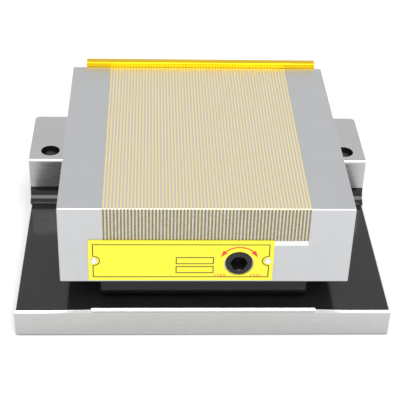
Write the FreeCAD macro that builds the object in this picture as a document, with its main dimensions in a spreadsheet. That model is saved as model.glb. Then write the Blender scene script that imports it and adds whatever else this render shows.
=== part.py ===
import FreeCAD, Part
import math
import os
import re
import Sketcher

# Tilting (sine) magnetic chuck: a fine-pole permanent chuck on a base with two ears.
# Frame: +X right, +Y back, +Z up, origin at the centre of the base's underside. Millimetres.

# Driving dimensions: alias, value, meaning.
SIZES = [
    ("base_width", 200, "base, left to right"),
    ("base_depth", 156, "base, front to back"),
    ("plate_thick", 16.5, "base plate"),
    ("plate_bevel", 1, "bevel round the plate's upper rim"),
    ("foot_bevel", 0.8, "bevel round the plate's lower rim"),
    ("pad_width", 118.5, "raised gauge-block land"),
    ("pad_depth", 70, "raised gauge-block land, from the front edge"),
    ("pad_rise", 1.5, "height of the land over the plate"),
    ("ear_width", 24, "hinge ear, left to right"),
    ("ear_gap", 1, "body to the inner side of an ear"),
    ("ear_rise", 27.5, "hinge ear over the plate"),
    ("ear_fillet", 7, "hollow fillet at the foot of the ear's front face"),
    ("ear_bevel", 2, "bevel on the ear's upper front edge"),
    ("ear_corner", 3, "radius of the ear's rear corner"),
    ("sine_length", 100, "roller axis to hinge axis"),
    ("pivot_inset", 10, "hinge axis behind the ear's front face"),
    ("base_nose", 16, "roller axis behind the base's front edge"),
    ("roller_inset", 14.5, "roller axis behind the body's front face"),
    ("roller_dia", 20, "sine roller"),
    ("roller_length", 110, "sine roller"),
    ("rest_gap", 0.1, "roller over the land when the chuck lies flat"),
    ("pin_dia", 12, "hinge shaft"),
    ("pin_recess", 2, "hinge shaft end inside the ear's outer side"),
    ("barrel_radius", 11, "outside of the hinge barrel"),
    ("flange_depth", 40, "hinge barrel's flange, front to back"),
    ("flange_thick", 5, "hinge barrel's flange"),
    ("rib_width", 20, "hinge barrel's locating rib"),
    ("rib_rise", 2, "hinge barrel's locating rib in the body's floor"),
    ("bush_wall", 2, "hinge bush"),
    ("bush_length", 20, "hinge bush"),
    ("washer_wall", 1.3, "thrust washer, radial"),
    ("thrust_thick", 3.8, "thrust washer, along the shaft"),
    ("body_depth", 150, "chuck body, front to back"),
    ("body_height", 46, "chuck body"),
    ("body_gap", 19, "body's underside over the plate"),
    ("body_bevel", 0.4, "bevel on every outer edge of the body"),
    ("front_wall", 20, "wall that carries the cam shaft"),
    ("rear_wall", 12, "rear wall"),
    ("floor_thick", 6, "body's floor"),
    ("side_wall", 22.5, "solid side of the body beside the strips, at least"),
    ("brass_thick", 0.88, "brass strip"),
    ("steel_thick", 0.88, "steel pole strip"),
    ("strip_height", 19.7, "pole strips, top to bottom"),
    ("seat_thick", 3, "seating frame under the strips"),
    ("shim_thick", 0.5, "wear shim under the strips"),
    ("seat_ledge", 5, "seating frame's side bars, at least"),
    ("pack_clear", 0.6, "side clearance of the pack beyond its travel"),
    ("pack_end_gap", 2.4, "front wall to the pack"),
    ("pack_rear_gap", 0.8, "pack to the rear wall"),
    ("pack_lift", 1, "carrier over the body's floor"),
    ("carrier_thick", 4.5, "carrier's base"),
    ("carrier_bar", 6, "carrier's end bars"),
    ("key_width", 6, "slide key"),
    ("key_sink", 1, "slide key in the floor"),
    ("key_stand", 1.5, "slide key in the carrier"),
    ("key_spread", 38, "slide keys each side of the cavity's centre"),
    ("cam_x", 17.3, "cam shaft right of the body's centre"),
    ("cam_height", 12.3, "cam shaft over the body's underside"),
    ("cam_head_dia", 14, "cam shaft's head"),
    ("cam_head_length", 12, "cam shaft's head"),
    ("cam_stem_dia", 10, "cam shaft's journal"),
    ("cam_pin_dia", 6, "cam shaft's eccentric pin"),
    ("cam_slack", 0.45, "pin to slot, each side"),
    ("hex_flats", 8, "socket in the cam shaft"),
    ("hex_depth", 6.5, "socket in the cam shaft"),
    ("stop_inset", 5.5, "stop pin behind the body's front face"),
    ("stop_dia", 3, "stop pin"),
    ("stop_reach", 1, "stop pin in the cam shaft's groove"),
    ("seal_inset", 9, "seal behind the body's front face"),
    ("seal_section", 0.9, "thickness of the seal ring"),
    ("clip_thick", 1, "retaining ring"),
    ("clip_dia", 12, "retaining ring"),
    ("label_width", 95, "label plate"),
    ("label_height", 25.3, "label plate"),
    ("label_thick", 0.8, "label plate"),
    ("label_x", -12.5, "label plate's centre from the body's centre"),
    ("label_low", 1.5, "label plate over the body's underside"),
    ("label_hole", 15.2, "label plate's hole round the cam shaft"),
    ("rivet_inset", 2.8, "rivet from the label plate's end"),
    ("rivet_dia", 2, "rivet shank"),
    ("rivet_head", 3.6, "rivet head"),
    ("rivet_dome", 0.8, "rivet head's height"),
    ("rivet_length", 5, "rivet in the body"),
    ("rail_short", 12, "body's width less the stop rail's length"),
    ("rail_thick", 5.5, "stop rail"),
    ("rail_height", 22, "stop rail"),
    ("rail_x", 2, "stop rail's centre from the body's centre"),
    ("rail_stand", 3.2, "stop rail over the working face"),
    ("rail_round", 1.2, "rounding of the stop rail's upper edges"),
    ("rail_down", 4.2, "stop rail's travel downwards"),
    ("rail_up", 2, "stop rail's travel upwards"),
    ("washer_dia", 10, "washer of the rail screws"),
    ("washer_thick", 1, "washer of the rail screws"),
    ("rail_bolt_inset", 8, "rail screw from the rail's end"),
    ("rail_bolt_drop", 8, "rail screw under the working face"),
    ("ear_screw_dia", 6, "screw through the hinge shaft"),
    ("ear_screw_sink", 3.2, "screw head under the ear's top"),
    ("ear_screw_length", 25, "screw through the hinge shaft"),
    ("fix_dia", 5, "screws of the roller, barrel and rail"),
    ("barrel_bolt_inset", 17, "barrel screw from the barrel's end"),
    ("barrel_bolt_y", 15.5, "barrel screw from the hinge axis"),
    ("roller_bolt_inset", 13, "roller screw from the roller's end"),
    ("roller_bolt_grip", 10, "roller screw in the body"),
    ("run_clear", 0.05, "radial running clearance"),
    ("fit_clear", 0.1, "clearance round screws and seated pieces"),
]

# Places and sizes that follow from the driving dimensions.
PLACES = [
    ("ear_depth", "base_depth - base_nose - sine_length + pivot_inset", "hinge ear, front to back"),
    ("ear_face_y", "base_depth / 2 - ear_depth", "front face of the ears"),
    ("ear_in_x", "base_width / 2 - ear_width", "inner side of an ear"),
    ("ear_mid_x", "base_width / 2 - ear_width / 2", "middle of an ear"),
    ("ear_top_z", "plate_thick + ear_rise", "top of the ears"),
    ("pivot_y", "base_depth / 2 - ear_depth + pivot_inset", "hinge axis"),
    ("pivot_z", "plate_thick + pad_rise + rest_gap + roller_dia / 2", "hinge and roller axes"),
    ("body_width", "2 * (ear_in_x - ear_gap)", "chuck body, left to right"),
    ("body_mid_y", "pivot_y - sine_length - roller_inset + body_depth / 2", "middle of the body"),
    ("body_low_z", "plate_thick + body_gap", "underside of the body"),
    ("pivot_back", "pivot_y - body_mid_y", "hinge axis from the body's middle"),
    ("pivot_drop", "pivot_z - body_low_z", "hinge axis from the body's underside"),
    ("roller_back", "pivot_back - sine_length", "roller from the body's middle"),
    ("roller_bolt_x", "roller_length / 2 - roller_bolt_inset", "roller screw from the centre"),
    ("barrel_length", "2 * (ear_in_x - thrust_thick - 2 * fit_clear)", "hinge barrel"),
    ("barrel_bolt_x", "barrel_length / 2 - barrel_bolt_inset", "barrel screw from the centre"),
    ("pitch", "brass_thick + steel_thick", "strip to strip"),
    ("brass_count", "floor((body_width - 2 * side_wall + steel_thick) / pitch)", "brass strips"),
    ("pack_width", "brass_count * pitch - steel_thick", "strip pack"),
    ("strip_low", "body_height - strip_height", "underside of the strips"),
    ("seat_low", "strip_low - seat_thick", "underside of the seating frame"),
    ("travel", "2 * pitch", "travel of the magnet pack"),
    ("throw", "travel / 2", "eccentricity of the cam"),
    ("stack_room", "pack_width - 2 * (seat_ledge + throw + pack_clear)", "widest magnet pack"),
    ("magnet_count", "floor((stack_room / travel - 1) / 2)", "magnets in the sliding pack"),
    ("stack_width", "(2 * magnet_count + 1) * travel", "magnets and plates side by side"),
    ("cavity_half", "stack_width / 2 + throw + pack_clear", "half the cavity's width"),
    ("cavity_front", "front_wall - body_depth / 2", "front of the cavity"),
    ("cavity_back", "body_depth / 2 - rear_wall", "back of the cavity"),
    ("key_mid", "(cavity_front + cavity_back) / 2", "middle of the slide keys"),
    ("pack_front", "cavity_front + pack_end_gap", "front of the carrier"),
    ("pack_back", "cavity_back - pack_rear_gap", "back of the carrier"),
    ("pack_low", "floor_thick + pack_lift", "underside of the carrier"),
    ("magnet_low", "pack_low + carrier_thick", "underside of the magnets"),
    ("pack_top", "strip_low - shim_thick - fit_clear", "top of the magnet pack"),
    ("slot_half", "cam_pin_dia / 2 + cam_slack", "half the carrier slot's width"),
    ("cam_bore", "cam_head_dia + 2 * run_clear", "bore for the cam shaft's head"),
    ("seal_dia", "cam_head_dia - 2 * (seal_section + fit_clear)", "bottom of the seal's groove"),
    ("clip_bore", "cam_stem_dia - 1.6", "bottom of the retaining ring's groove"),
    ("label_z", "label_low + label_height / 2", "middle of the label"),
    ("rivet_x", "label_width / 2 - rivet_inset", "rivet from the label's middle"),
    ("rail_length", "body_width - rail_short", "stop rail"),
    ("rail_bolt_x", "rail_length / 2 - rail_bolt_inset", "rail screw from the rail's centre"),
    ("rail_top", "body_height + rail_stand", "top of the stop rail"),
    ("rail_bolt_z", "body_height - rail_bolt_drop", "rail screws over the underside"),
    ("rail_back_y", "body_mid_y + body_depth / 2 + rail_thick + 2 * run_clear", "face behind the rail"),
    ("vee_half", "roller_dia / 2 * sqrt(2) + pivot_drop", "half-width of the roller's vee seat"),
    ("ear_head_dia", "ear_screw_dia * 1.6 + 0.4", "head of the ear screw"),
    ("ear_head_seat", "ear_top_z - ear_screw_sink - ear_screw_dia", "seat of the ear screw's head"),
    ("fix_head", "fix_dia * 1.7", "head of the smaller screws"),
]

doc = FreeCAD.newDocument("magnetic_chuck")


def fill_sheet(name, rows, formula):
    """Write rows of alias, value and meaning to a new sheet."""
    sheet = doc.addObject("Spreadsheet::Sheet", name)
    for number, (alias, value, meaning) in enumerate(rows, start=1):
        sheet.set("A%d" % number, alias)
        sheet.set("C%d" % number, meaning)
        sheet.set("B%d" % number, formula(value))
        sheet.setAlias("B%d" % number, alias)
    doc.recompute()
    return sheet


SIZE_NAMES = {row[0] for row in SIZES}
PLACE_NAMES = {row[0] for row in PLACES}


def ref(text):
    """Point each alias in an expression at its sheet."""
    def point(match):
        word = match.group(0)
        if word in SIZE_NAMES:
            return "sizes." + word
        if word in PLACE_NAMES:
            return "places." + word
        return word
    return re.sub(r"[a-z_]+", point, str(text))


def place_formula(value):
    """A formula of the places sheet, which names its own cells directly."""
    return "=" + ref(value).replace("places.", "")


sizes = fill_sheet("sizes", SIZES, str)
places = fill_sheet("places", PLACES, place_formula)


def value(text):
    """The number that an expression stands for now."""
    return float(places.evalExpression(ref(text)))


def new_body(name, where=("0", "0", "0")):
    """A body with its label and its bound placement."""
    body = doc.addObject("PartDesign::Body", name)
    body.Label = name
    for axis, text in zip("xyz", where):
        body.setExpression("Placement.Base." + axis, ref(text))
    return body


def origin(body, role):
    """One of a body's own planes or axes."""
    return next(f for f in body.Origin.OriginFeatures if f.Role == role)


def new_sketch(body, name, role="XY_Plane", offset="0", shift="0"):
    """A sketch on a body's own plane: offset along the plane's normal, shift along its X."""
    sketch = body.newObject("Sketcher::SketchObject", name)
    sketch.AttachmentSupport = [(origin(body, role), "")]
    sketch.MapMode = "FlatFace"
    sketch.setExpression("AttachmentOffset.Base.z", ref(offset))
    sketch.setExpression("AttachmentOffset.Base.x", ref(shift))
    return sketch


def fix(sketch, kind, geometry, point, text):
    """Add a dimension bound to an expression."""
    spec = (kind, geometry, value(text)) if point is None else (kind, geometry, point, value(text))
    index = sketch.addConstraint(Sketcher.Constraint(*spec))
    sketch.setExpression("Constraints[%d]" % index, ref(text))


def arc_between(start, end, centre, way):
    """An arc about a centre; way is 1 for counter-clockwise and -1 for clockwise."""
    first, last = (start, end) if way > 0 else (end, start)
    angles = [math.atan2(p.y - centre.y, p.x - centre.x) for p in (first, last)]
    if angles[1] < angles[0]:
        angles[1] += 2 * math.pi
    circle = Part.Circle(centre, FreeCAD.Vector(0, 0, 1), (start - centre).Length)
    return Part.ArcOfCircle(circle, *angles)


def add_outline(sketch, corners):
    """Close a chain of corners (x, y) or (x, y, (centre x, centre y), way).

    A corner with a centre starts an arc to the next one, and the others start straight lines.
    """
    ends = [FreeCAD.Vector(value(c[0]), value(c[1]), 0) for c in corners]
    edges = []
    for index, corner in enumerate(corners):
        start, end = ends[index], ends[(index + 1) % len(ends)]
        if len(corner) == 2:
            edges.append((sketch.addGeometry(Part.LineSegment(start, end), False), 1, 2))
            continue
        centre = FreeCAD.Vector(value(corner[2][0]), value(corner[2][1]), 0)
        arc = sketch.addGeometry(arc_between(start, end, centre, corner[3]), False)
        edges.append((arc, 1, 2) if corner[3] > 0 else (arc, 2, 1))
    for index, (edge, start, end) in enumerate(edges):
        following, begin, _ = edges[(index + 1) % len(edges)]
        sketch.addConstraint(Sketcher.Constraint("Coincident", edge, end, following, begin))
        fix(sketch, "DistanceX", edge, start, corners[index][0])
        fix(sketch, "DistanceY", edge, start, corners[index][1])
        if len(corners[index]) > 2:
            chord = ends[(index + 1) % len(ends)] - ends[index]
            level = abs(chord.x) > abs(chord.y)
            fix(sketch, "DistanceY" if level else "DistanceX", edge, 3, corners[index][2][level])


def add_box(sketch, low_x, high_x, low_y, high_y):
    """A rectangle between two corners."""
    add_outline(sketch, [(low_x, low_y), (high_x, low_y), (high_x, high_y), (low_x, high_y)])


def add_circle(sketch, x, y, dia):
    """A circle by centre and diameter."""
    shape = Part.Circle(FreeCAD.Vector(value(x), value(y), 0), FreeCAD.Vector(0, 0, 1), value(dia) / 2)
    circle = sketch.addGeometry(shape, False)
    fix(sketch, "DistanceX", circle, 3, x)
    fix(sketch, "DistanceY", circle, 3, y)
    fix(sketch, "Diameter", circle, None, dia)


def add_hexagon(sketch, flats, level=False):
    """A hexagon by its width across flats, with two flats upright, or level."""
    half, point, shoulder = ("(%s) * %s" % (flats, k) for k in ("0.5", "0.5773503", "0.2886751"))
    corners = [(half, shoulder), ("0", point), ("-" + half, shoulder),
               ("-" + half, "-" + shoulder), ("0", "-" + point), (half, "-" + shoulder)]
    if level:
        corners = [(rise, side) for side, rise in corners]
    add_outline(sketch, corners)


def extrude(body, kind, sketch, length, both=False, back=False):
    """Pad or pocket a sketch; both goes each way by half the length."""
    feature = body.newObject("PartDesign::" + kind, sketch.Name + "_" + kind.lower())
    feature.Profile = sketch
    feature.setExpression("Length", ref(length))
    if both:
        feature.SideType = "Symmetric"
    feature.Reversed = back
    sketch.Visibility = False
    doc.recompute()
    return feature


def pad(body, sketch, length, both=False, back=False):
    """Add material."""
    return extrude(body, "Pad", sketch, length, both, back)


def cut(body, sketch, length, both=False, back=False):
    """Take material away; back cuts along the plane's normal."""
    return extrude(body, "Pocket", sketch, length, both, back)


def turn(body, name, role, corners, kind="Revolution", angle=360, shift="0"):
    """Revolve an outline of (radius, height) corners round the upright axis of its plane."""
    sketch = new_sketch(body, name, role, shift=shift)
    add_outline(sketch, corners)
    feature = body.newObject("PartDesign::" + kind, name + "_" + kind.lower())
    feature.Profile = sketch
    feature.ReferenceAxis = (sketch, ["V_Axis"])
    feature.Angle = angle
    if angle < 360:
        feature.Midplane = True
    sketch.Visibility = False
    doc.recompute()
    return feature


def mirror(body, features, role="YZ_Plane"):
    """Repeat features on the other side of a body's own plane."""
    feature = body.newObject("PartDesign::Mirrored", body.Name + "_mirror")
    feature.Originals = features
    feature.MirrorPlane = (origin(body, role), [""])
    body.Tip = feature
    doc.recompute()
    return feature


def repeat(body, features, role, length, count):
    """Repeat features in a row; length is from the first to the last."""
    feature = body.newObject("PartDesign::LinearPattern", body.Name + "_row")
    feature.Originals = features
    feature.Direction = (origin(body, role), [""])
    body.Tip = feature
    feature.setExpression("Length", ref(length))
    feature.setExpression("Occurrences", ref(count))
    doc.recompute()
    return feature


def edges_at(feature, test):
    """Names of a feature's edges whose middle passes a test."""
    names = []
    for number, edge in enumerate(feature.Shape.Edges, start=1):
        middle = edge.valueAt((edge.FirstParameter + edge.LastParameter) / 2)
        if test(middle):
            names.append("Edge%d" % number)
    return names


def dress(body, kind, feature, names, size):
    """Chamfer or fillet the named edges of a feature."""
    dressed = body.newObject("PartDesign::" + kind, feature.Name + "_" + kind.lower())
    dressed.Base = (feature, names)
    dressed.setExpression("Size" if kind == "Chamfer" else "Radius", ref(size))
    doc.recompute()
    return dressed


def near(one, other):
    """True where two coordinates agree."""
    return abs(one - other) < 0.01


def build_base():
    """Plate, raised land and the two hinge ears, in one piece."""
    body = new_body("base_plate")
    sketch = new_sketch(body, "plate_outline")
    add_box(sketch, "-base_width / 2", "base_width / 2", "-base_depth / 2", "base_depth / 2")
    pad(body, sketch, "plate_thick")
    sketch = new_sketch(body, "land_outline")
    add_box(sketch, "-pad_width / 2", "pad_width / 2", "-base_depth / 2", "pad_depth - base_depth / 2")
    pad(body, sketch, "plate_thick + pad_rise")
    sketch = new_sketch(body, "ear_side", "YZ_Plane", "ear_in_x")
    add_outline(sketch, [
        ("ear_face_y - ear_fillet", "plate_thick",
         ("ear_face_y - ear_fillet", "plate_thick + ear_fillet"), 1),
        ("ear_face_y", "plate_thick + ear_fillet"),
        ("ear_face_y", "ear_top_z - ear_bevel"),
        ("ear_face_y + ear_bevel", "ear_top_z"),
        ("base_depth / 2", "ear_top_z"),
        ("base_depth / 2", "0"),
        ("ear_face_y - ear_fillet", "0"),
    ])
    ear = mirror(body, [pad(body, sketch, "ear_width")])
    side, back, top = value("base_width / 2"), value("base_depth / 2"), value("plate_thick")
    corners = edges_at(ear, lambda p: near(abs(p.x), side) and near(p.y, back))
    rounded = dress(body, "Fillet", ear, corners, "ear_corner")
    land = top + value("pad_rise")
    front = -back
    ear_start = value("ear_face_y - ear_fillet")
    rim = edges_at(rounded, lambda p: (near(p.y, front) and (near(p.z, top) or near(p.z, land)))
                   or (near(abs(p.x), side) and near(p.z, top) and p.y < ear_start))
    bevelled = dress(body, "Chamfer", rounded, rim, "plate_bevel")
    foot = edges_at(bevelled, lambda p: near(p.z, 0))
    dress(body, "Chamfer", bevelled, foot, "foot_bevel")
    sketch = new_sketch(body, "pin_bore", "YZ_Plane")
    add_circle(sketch, "pivot_y", "pivot_z", "pin_dia")
    cut(body, sketch, "base_width + 2", both=True)
    steps = [("head_bore", "ear_head_dia + 1", "ear_top_z - ear_head_seat"),
             ("screw_bore", "ear_screw_dia + 2 * fit_clear", "ear_top_z - ear_head_seat + ear_screw_length + 1")]
    for name, dia, depth in steps:
        sketch = new_sketch(body, name, "XY_Plane", "ear_top_z")
        add_circle(sketch, "ear_mid_x", "pivot_y", dia)
        add_circle(sketch, "-ear_mid_x", "pivot_y", dia)
        cut(body, sketch, depth)
    return body


def build_hinge_shaft():
    """Fixed shaft through both ears, cross-drilled for the ear screws."""
    body = new_body("hinge_shaft", ("0", "pivot_y", "pivot_z"))
    sketch = new_sketch(body, "shaft_round", "YZ_Plane")
    add_circle(sketch, "0", "0", "pin_dia")
    shaft = pad(body, sketch, "base_width - 2 * pin_recess", both=True)
    ends = edges_at(shaft, lambda p: abs(p.x) > value("ear_mid_x"))
    dress(body, "Chamfer", shaft, ends, "0.8")
    sketch = new_sketch(body, "shaft_cross_bore", "XY_Plane")
    for side in ("ear_mid_x", "-ear_mid_x"):
        add_circle(sketch, side, "0", "ear_screw_dia + 2 * fit_clear")
    cut(body, sketch, "pin_dia + 2", both=True)
    return body


def make_screw(body, corners, top, flats, depth, head=1, role="XZ_Plane", shift="0"):
    """Turn one screw and cut its socket.

    Heights in corners run from the head's seat; head is 1 where the head lies on the positive
    side of the axis and -1 where it lies on the negative side.
    """
    outline = [(radius, "%d * (%s)" % (head, height)) for radius, height in corners]
    made = turn(body, body.Name + "_turning", role, outline, shift=shift)
    upright = role == "XZ_Plane"
    face = "XY_Plane" if upright else "XZ_Plane"
    offset = "%d * (%s)" % (head if upright else -head, top)
    sketch = new_sketch(body, body.Name + "_socket", face, offset, shift)
    add_hexagon(sketch, flats)
    return [made, cut(body, sketch, depth, back=upright != (head > 0))]


def cap_head(dia, head_dia, length):
    """Outline of a socket-head cap screw."""
    return [("0", dia), ("%s / 2 - 0.6" % head_dia, dia), ("%s / 2" % head_dia, "%s - 0.6" % dia),
            ("%s / 2" % head_dia, "0"), ("%s / 2" % dia, "0"), ("%s / 2" % dia, "-%s" % length),
            ("0", "-%s" % length)]


def flat_head(dia, length):
    """Outline of a countersunk screw, whose head's top is at height 0."""
    return [("0", "0"), (dia, "0"), ("%s / 2" % dia, "-%s / 2" % dia),
            ("%s / 2" % dia, "-%s" % length), ("0", "-%s" % length)]


def build_ear_screws():
    """One screw down through each end of the hinge shaft."""
    body = new_body("ear_screws", ("0", "pivot_y", "ear_head_seat"))
    corners = cap_head("ear_screw_dia", "ear_head_dia", "ear_screw_length")
    parts = make_screw(body, corners, "ear_screw_dia", "ear_screw_dia * 0.83", "ear_screw_dia / 2",
                       shift="ear_mid_x")
    mirror(body, parts)
    return body


def build_thrust_washers():
    """Rings that centre the chuck between the ears."""
    body = new_body("thrust_washers", ("0", "pivot_y", "pivot_z"))
    sketch = new_sketch(body, "washer_round", "YZ_Plane", "barrel_length / 2 + fit_clear")
    add_circle(sketch, "0", "0", "pin_dia + 2 * washer_wall")
    add_circle(sketch, "0", "0", "pin_dia + 2 * run_clear")
    mirror(body, [pad(body, sketch, "thrust_thick")])
    return body


BODY_DATUM = ("0", "body_mid_y", "body_low_z")
CAM_DATUM = ("cam_x", "body_mid_y - body_depth / 2", "body_low_z + cam_height")


def build_housing():
    """Chuck body: channel for the pole strips, cavity for the magnets, bores and seats."""
    body = new_body("chuck_body", BODY_DATUM)
    sketch = new_sketch(body, "body_outline")
    add_box(sketch, "-body_width / 2", "body_width / 2", "-body_depth / 2", "body_depth / 2")
    block = pad(body, sketch, "body_height")
    dress(body, "Chamfer", block, ["Edge%d" % n for n in range(1, 13)], "body_bevel")
    sketch = new_sketch(body, "strip_channel", "XZ_Plane")
    add_box(sketch, "-pack_width / 2", "pack_width / 2", "seat_low", "body_height + 1")
    cut(body, sketch, "body_depth + 2", both=True)
    sketch = new_sketch(body, "magnet_cavity", "XY_Plane", "seat_low")
    add_box(sketch, "-cavity_half", "cavity_half", "cavity_front", "cavity_back")
    cut(body, sketch, "seat_low - floor_thick")
    sketch = new_sketch(body, "key_seats", "XY_Plane", "floor_thick")
    for row in ("key_mid - key_spread", "key_mid + key_spread"):
        add_box(sketch, "-cavity_half", "cavity_half", "%s - key_width / 2" % row, "%s + key_width / 2" % row)
    cut(body, sketch, "key_sink")
    sketch = new_sketch(body, "cam_bore_round", "XZ_Plane", "body_depth / 2")
    add_circle(sketch, "cam_x", "cam_height", "cam_bore")
    cut(body, sketch, "front_wall + 1")
    sketch = new_sketch(body, "stop_hole", "XY_Plane")
    add_circle(sketch, "cam_x", "stop_inset - body_depth / 2", "stop_dia")
    cut(body, sketch, "cam_height", back=True)
    sketch = new_sketch(body, "rivet_holes", "XZ_Plane", "body_depth / 2")
    for side in ("label_x - rivet_x", "label_x + rivet_x"):
        add_circle(sketch, side, "label_z", "rivet_dia + fit_clear")
    cut(body, sketch, "rivet_length + 1")
    sketch = new_sketch(body, "rail_holes", "XZ_Plane", "-body_depth / 2")
    for side in ("rail_x - rail_bolt_x", "rail_x + rail_bolt_x"):
        add_circle(sketch, side, "rail_bolt_z", "fix_dia + fit_clear")
    cut(body, sketch, "rear_wall + 2", back=True)
    sketch = new_sketch(body, "roller_vee", "YZ_Plane")
    add_outline(sketch, [("roller_back - vee_half", "0"), ("roller_back + vee_half", "0"),
                         ("roller_back", "vee_half")])
    cut(body, sketch, "roller_length + 2", both=True)
    sketch = new_sketch(body, "rib_seat", "XY_Plane")
    add_box(sketch, "-barrel_length / 2 - fit_clear", "barrel_length / 2 + fit_clear",
            "pivot_back - rib_width / 2 - run_clear", "pivot_back + rib_width / 2 + run_clear")
    cut(body, sketch, "rib_rise + fit_clear", back=True)
    sketch = new_sketch(body, "roller_holes", "XY_Plane")
    for side in ("-roller_bolt_x", "roller_bolt_x"):
        add_circle(sketch, side, "roller_back", "fix_dia + fit_clear")
    cut(body, sketch, "vee_half + roller_bolt_grip", back=True)
    sketch = new_sketch(body, "barrel_holes", "XY_Plane")
    for side in ("-barrel_bolt_x", "barrel_bolt_x"):
        for row in ("pivot_back - barrel_bolt_y", "pivot_back + barrel_bolt_y"):
            add_circle(sketch, side, row, "fix_dia + fit_clear")
    cut(body, sketch, "floor_thick", back=True)
    return body


def build_strips(name, first, thick, count):
    """Upright strips on edge, side by side across the working face."""
    body = new_body(name, BODY_DATUM)
    sketch = new_sketch(body, name + "_side", "YZ_Plane", first)
    add_outline(sketch, [
        ("-body_depth / 2", "strip_low"),
        ("body_depth / 2", "strip_low"),
        ("body_depth / 2", "body_height - body_bevel"),
        ("body_depth / 2 - body_bevel", "body_height"),
        ("body_bevel - body_depth / 2", "body_height"),
        ("-body_depth / 2", "body_height - body_bevel"),
    ])
    strip = pad(body, sketch, thick)
    repeat(body, [strip], "X_Axis", "pitch * (%s - 1)" % count, count)
    return body


def build_seat_frame():
    """Light-metal frame that the pole strips stand on."""
    body = new_body("seat_frame", BODY_DATUM)
    sketch = new_sketch(body, "frame_outline", "XY_Plane", "seat_low")
    add_box(sketch, "-pack_width / 2", "pack_width / 2", "-body_depth / 2", "body_depth / 2")
    add_box(sketch, "-cavity_half", "cavity_half", "cavity_front", "cavity_back")
    pad(body, sketch, "seat_thick")
    return body


def build_wear_shim():
    """Thin sheet under the strips that the magnet pack runs against."""
    body = new_body("wear_shim", BODY_DATUM)
    sketch = new_sketch(body, "shim_outline", "XY_Plane", "strip_low - shim_thick")
    add_box(sketch, "fit_clear - cavity_half", "cavity_half - fit_clear",
            "cavity_front + fit_clear", "cavity_back - fit_clear")
    pad(body, sketch, "shim_thick")
    return body


def build_slide_keys():
    """Two keys in the floor that carry the magnet pack and keep it square."""
    body = new_body("slide_keys", BODY_DATUM)
    sketch = new_sketch(body, "key_outline", "XY_Plane", "floor_thick - key_sink")
    add_box(sketch, "fit_clear - cavity_half", "cavity_half - fit_clear",
            "key_mid - key_spread - key_width / 2", "key_mid - key_spread + key_width / 2")
    key = pad(body, sketch, "key_sink + pack_lift + key_stand")
    repeat(body, [key], "Y_Axis", "2 * key_spread", "2")
    return body


def build_magnet_carrier():
    """Sliding tray with an end bar at each end, keyways below and the cam's slot in front."""
    body = new_body("magnet_carrier", ("-throw", "body_mid_y", "body_low_z"))
    sketch = new_sketch(body, "tray_outline", "XY_Plane", "pack_low")
    add_box(sketch, "-stack_width / 2", "stack_width / 2", "pack_front", "pack_back")
    pad(body, sketch, "pack_top - pack_low")
    sketch = new_sketch(body, "magnet_bed", "XY_Plane", "pack_top")
    add_box(sketch, "-stack_width / 2 - 1", "stack_width / 2 + 1",
            "pack_front + carrier_bar", "pack_back - carrier_bar")
    cut(body, sketch, "pack_top - magnet_low")
    sketch = new_sketch(body, "keyways", "XY_Plane", "pack_low")
    for row in ("key_mid - key_spread", "key_mid + key_spread"):
        add_box(sketch, "-stack_width / 2 - 1", "stack_width / 2 + 1",
                "%s - key_width / 2 - run_clear" % row, "%s + key_width / 2 + run_clear" % row)
    cut(body, sketch, "key_stand + run_clear", back=True)
    sketch = new_sketch(body, "cam_slot", "XZ_Plane", "-pack_front")
    add_outline(sketch, [
        ("cam_x - slot_half", "pack_low - 1"),
        ("cam_x + slot_half", "pack_low - 1"),
        ("cam_x + slot_half", "cam_height + throw", ("cam_x", "cam_height + throw"), 1),
        ("cam_x - slot_half", "cam_height + throw"),
    ])
    cut(body, sketch, "carrier_bar")
    return body


def build_pack_pieces(name, first, count):
    """Magnets or flux plates stood side by side in the carrier."""
    body = new_body(name, ("-throw", "body_mid_y", "body_low_z"))
    sketch = new_sketch(body, name + "_side", "YZ_Plane", first)
    add_box(sketch, "pack_front + carrier_bar", "pack_back - carrier_bar", "magnet_low", "pack_top")
    piece = pad(body, sketch, "travel")
    repeat(body, [piece], "X_Axis", "2 * travel * (%s - 1)" % count, count)
    return body


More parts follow.
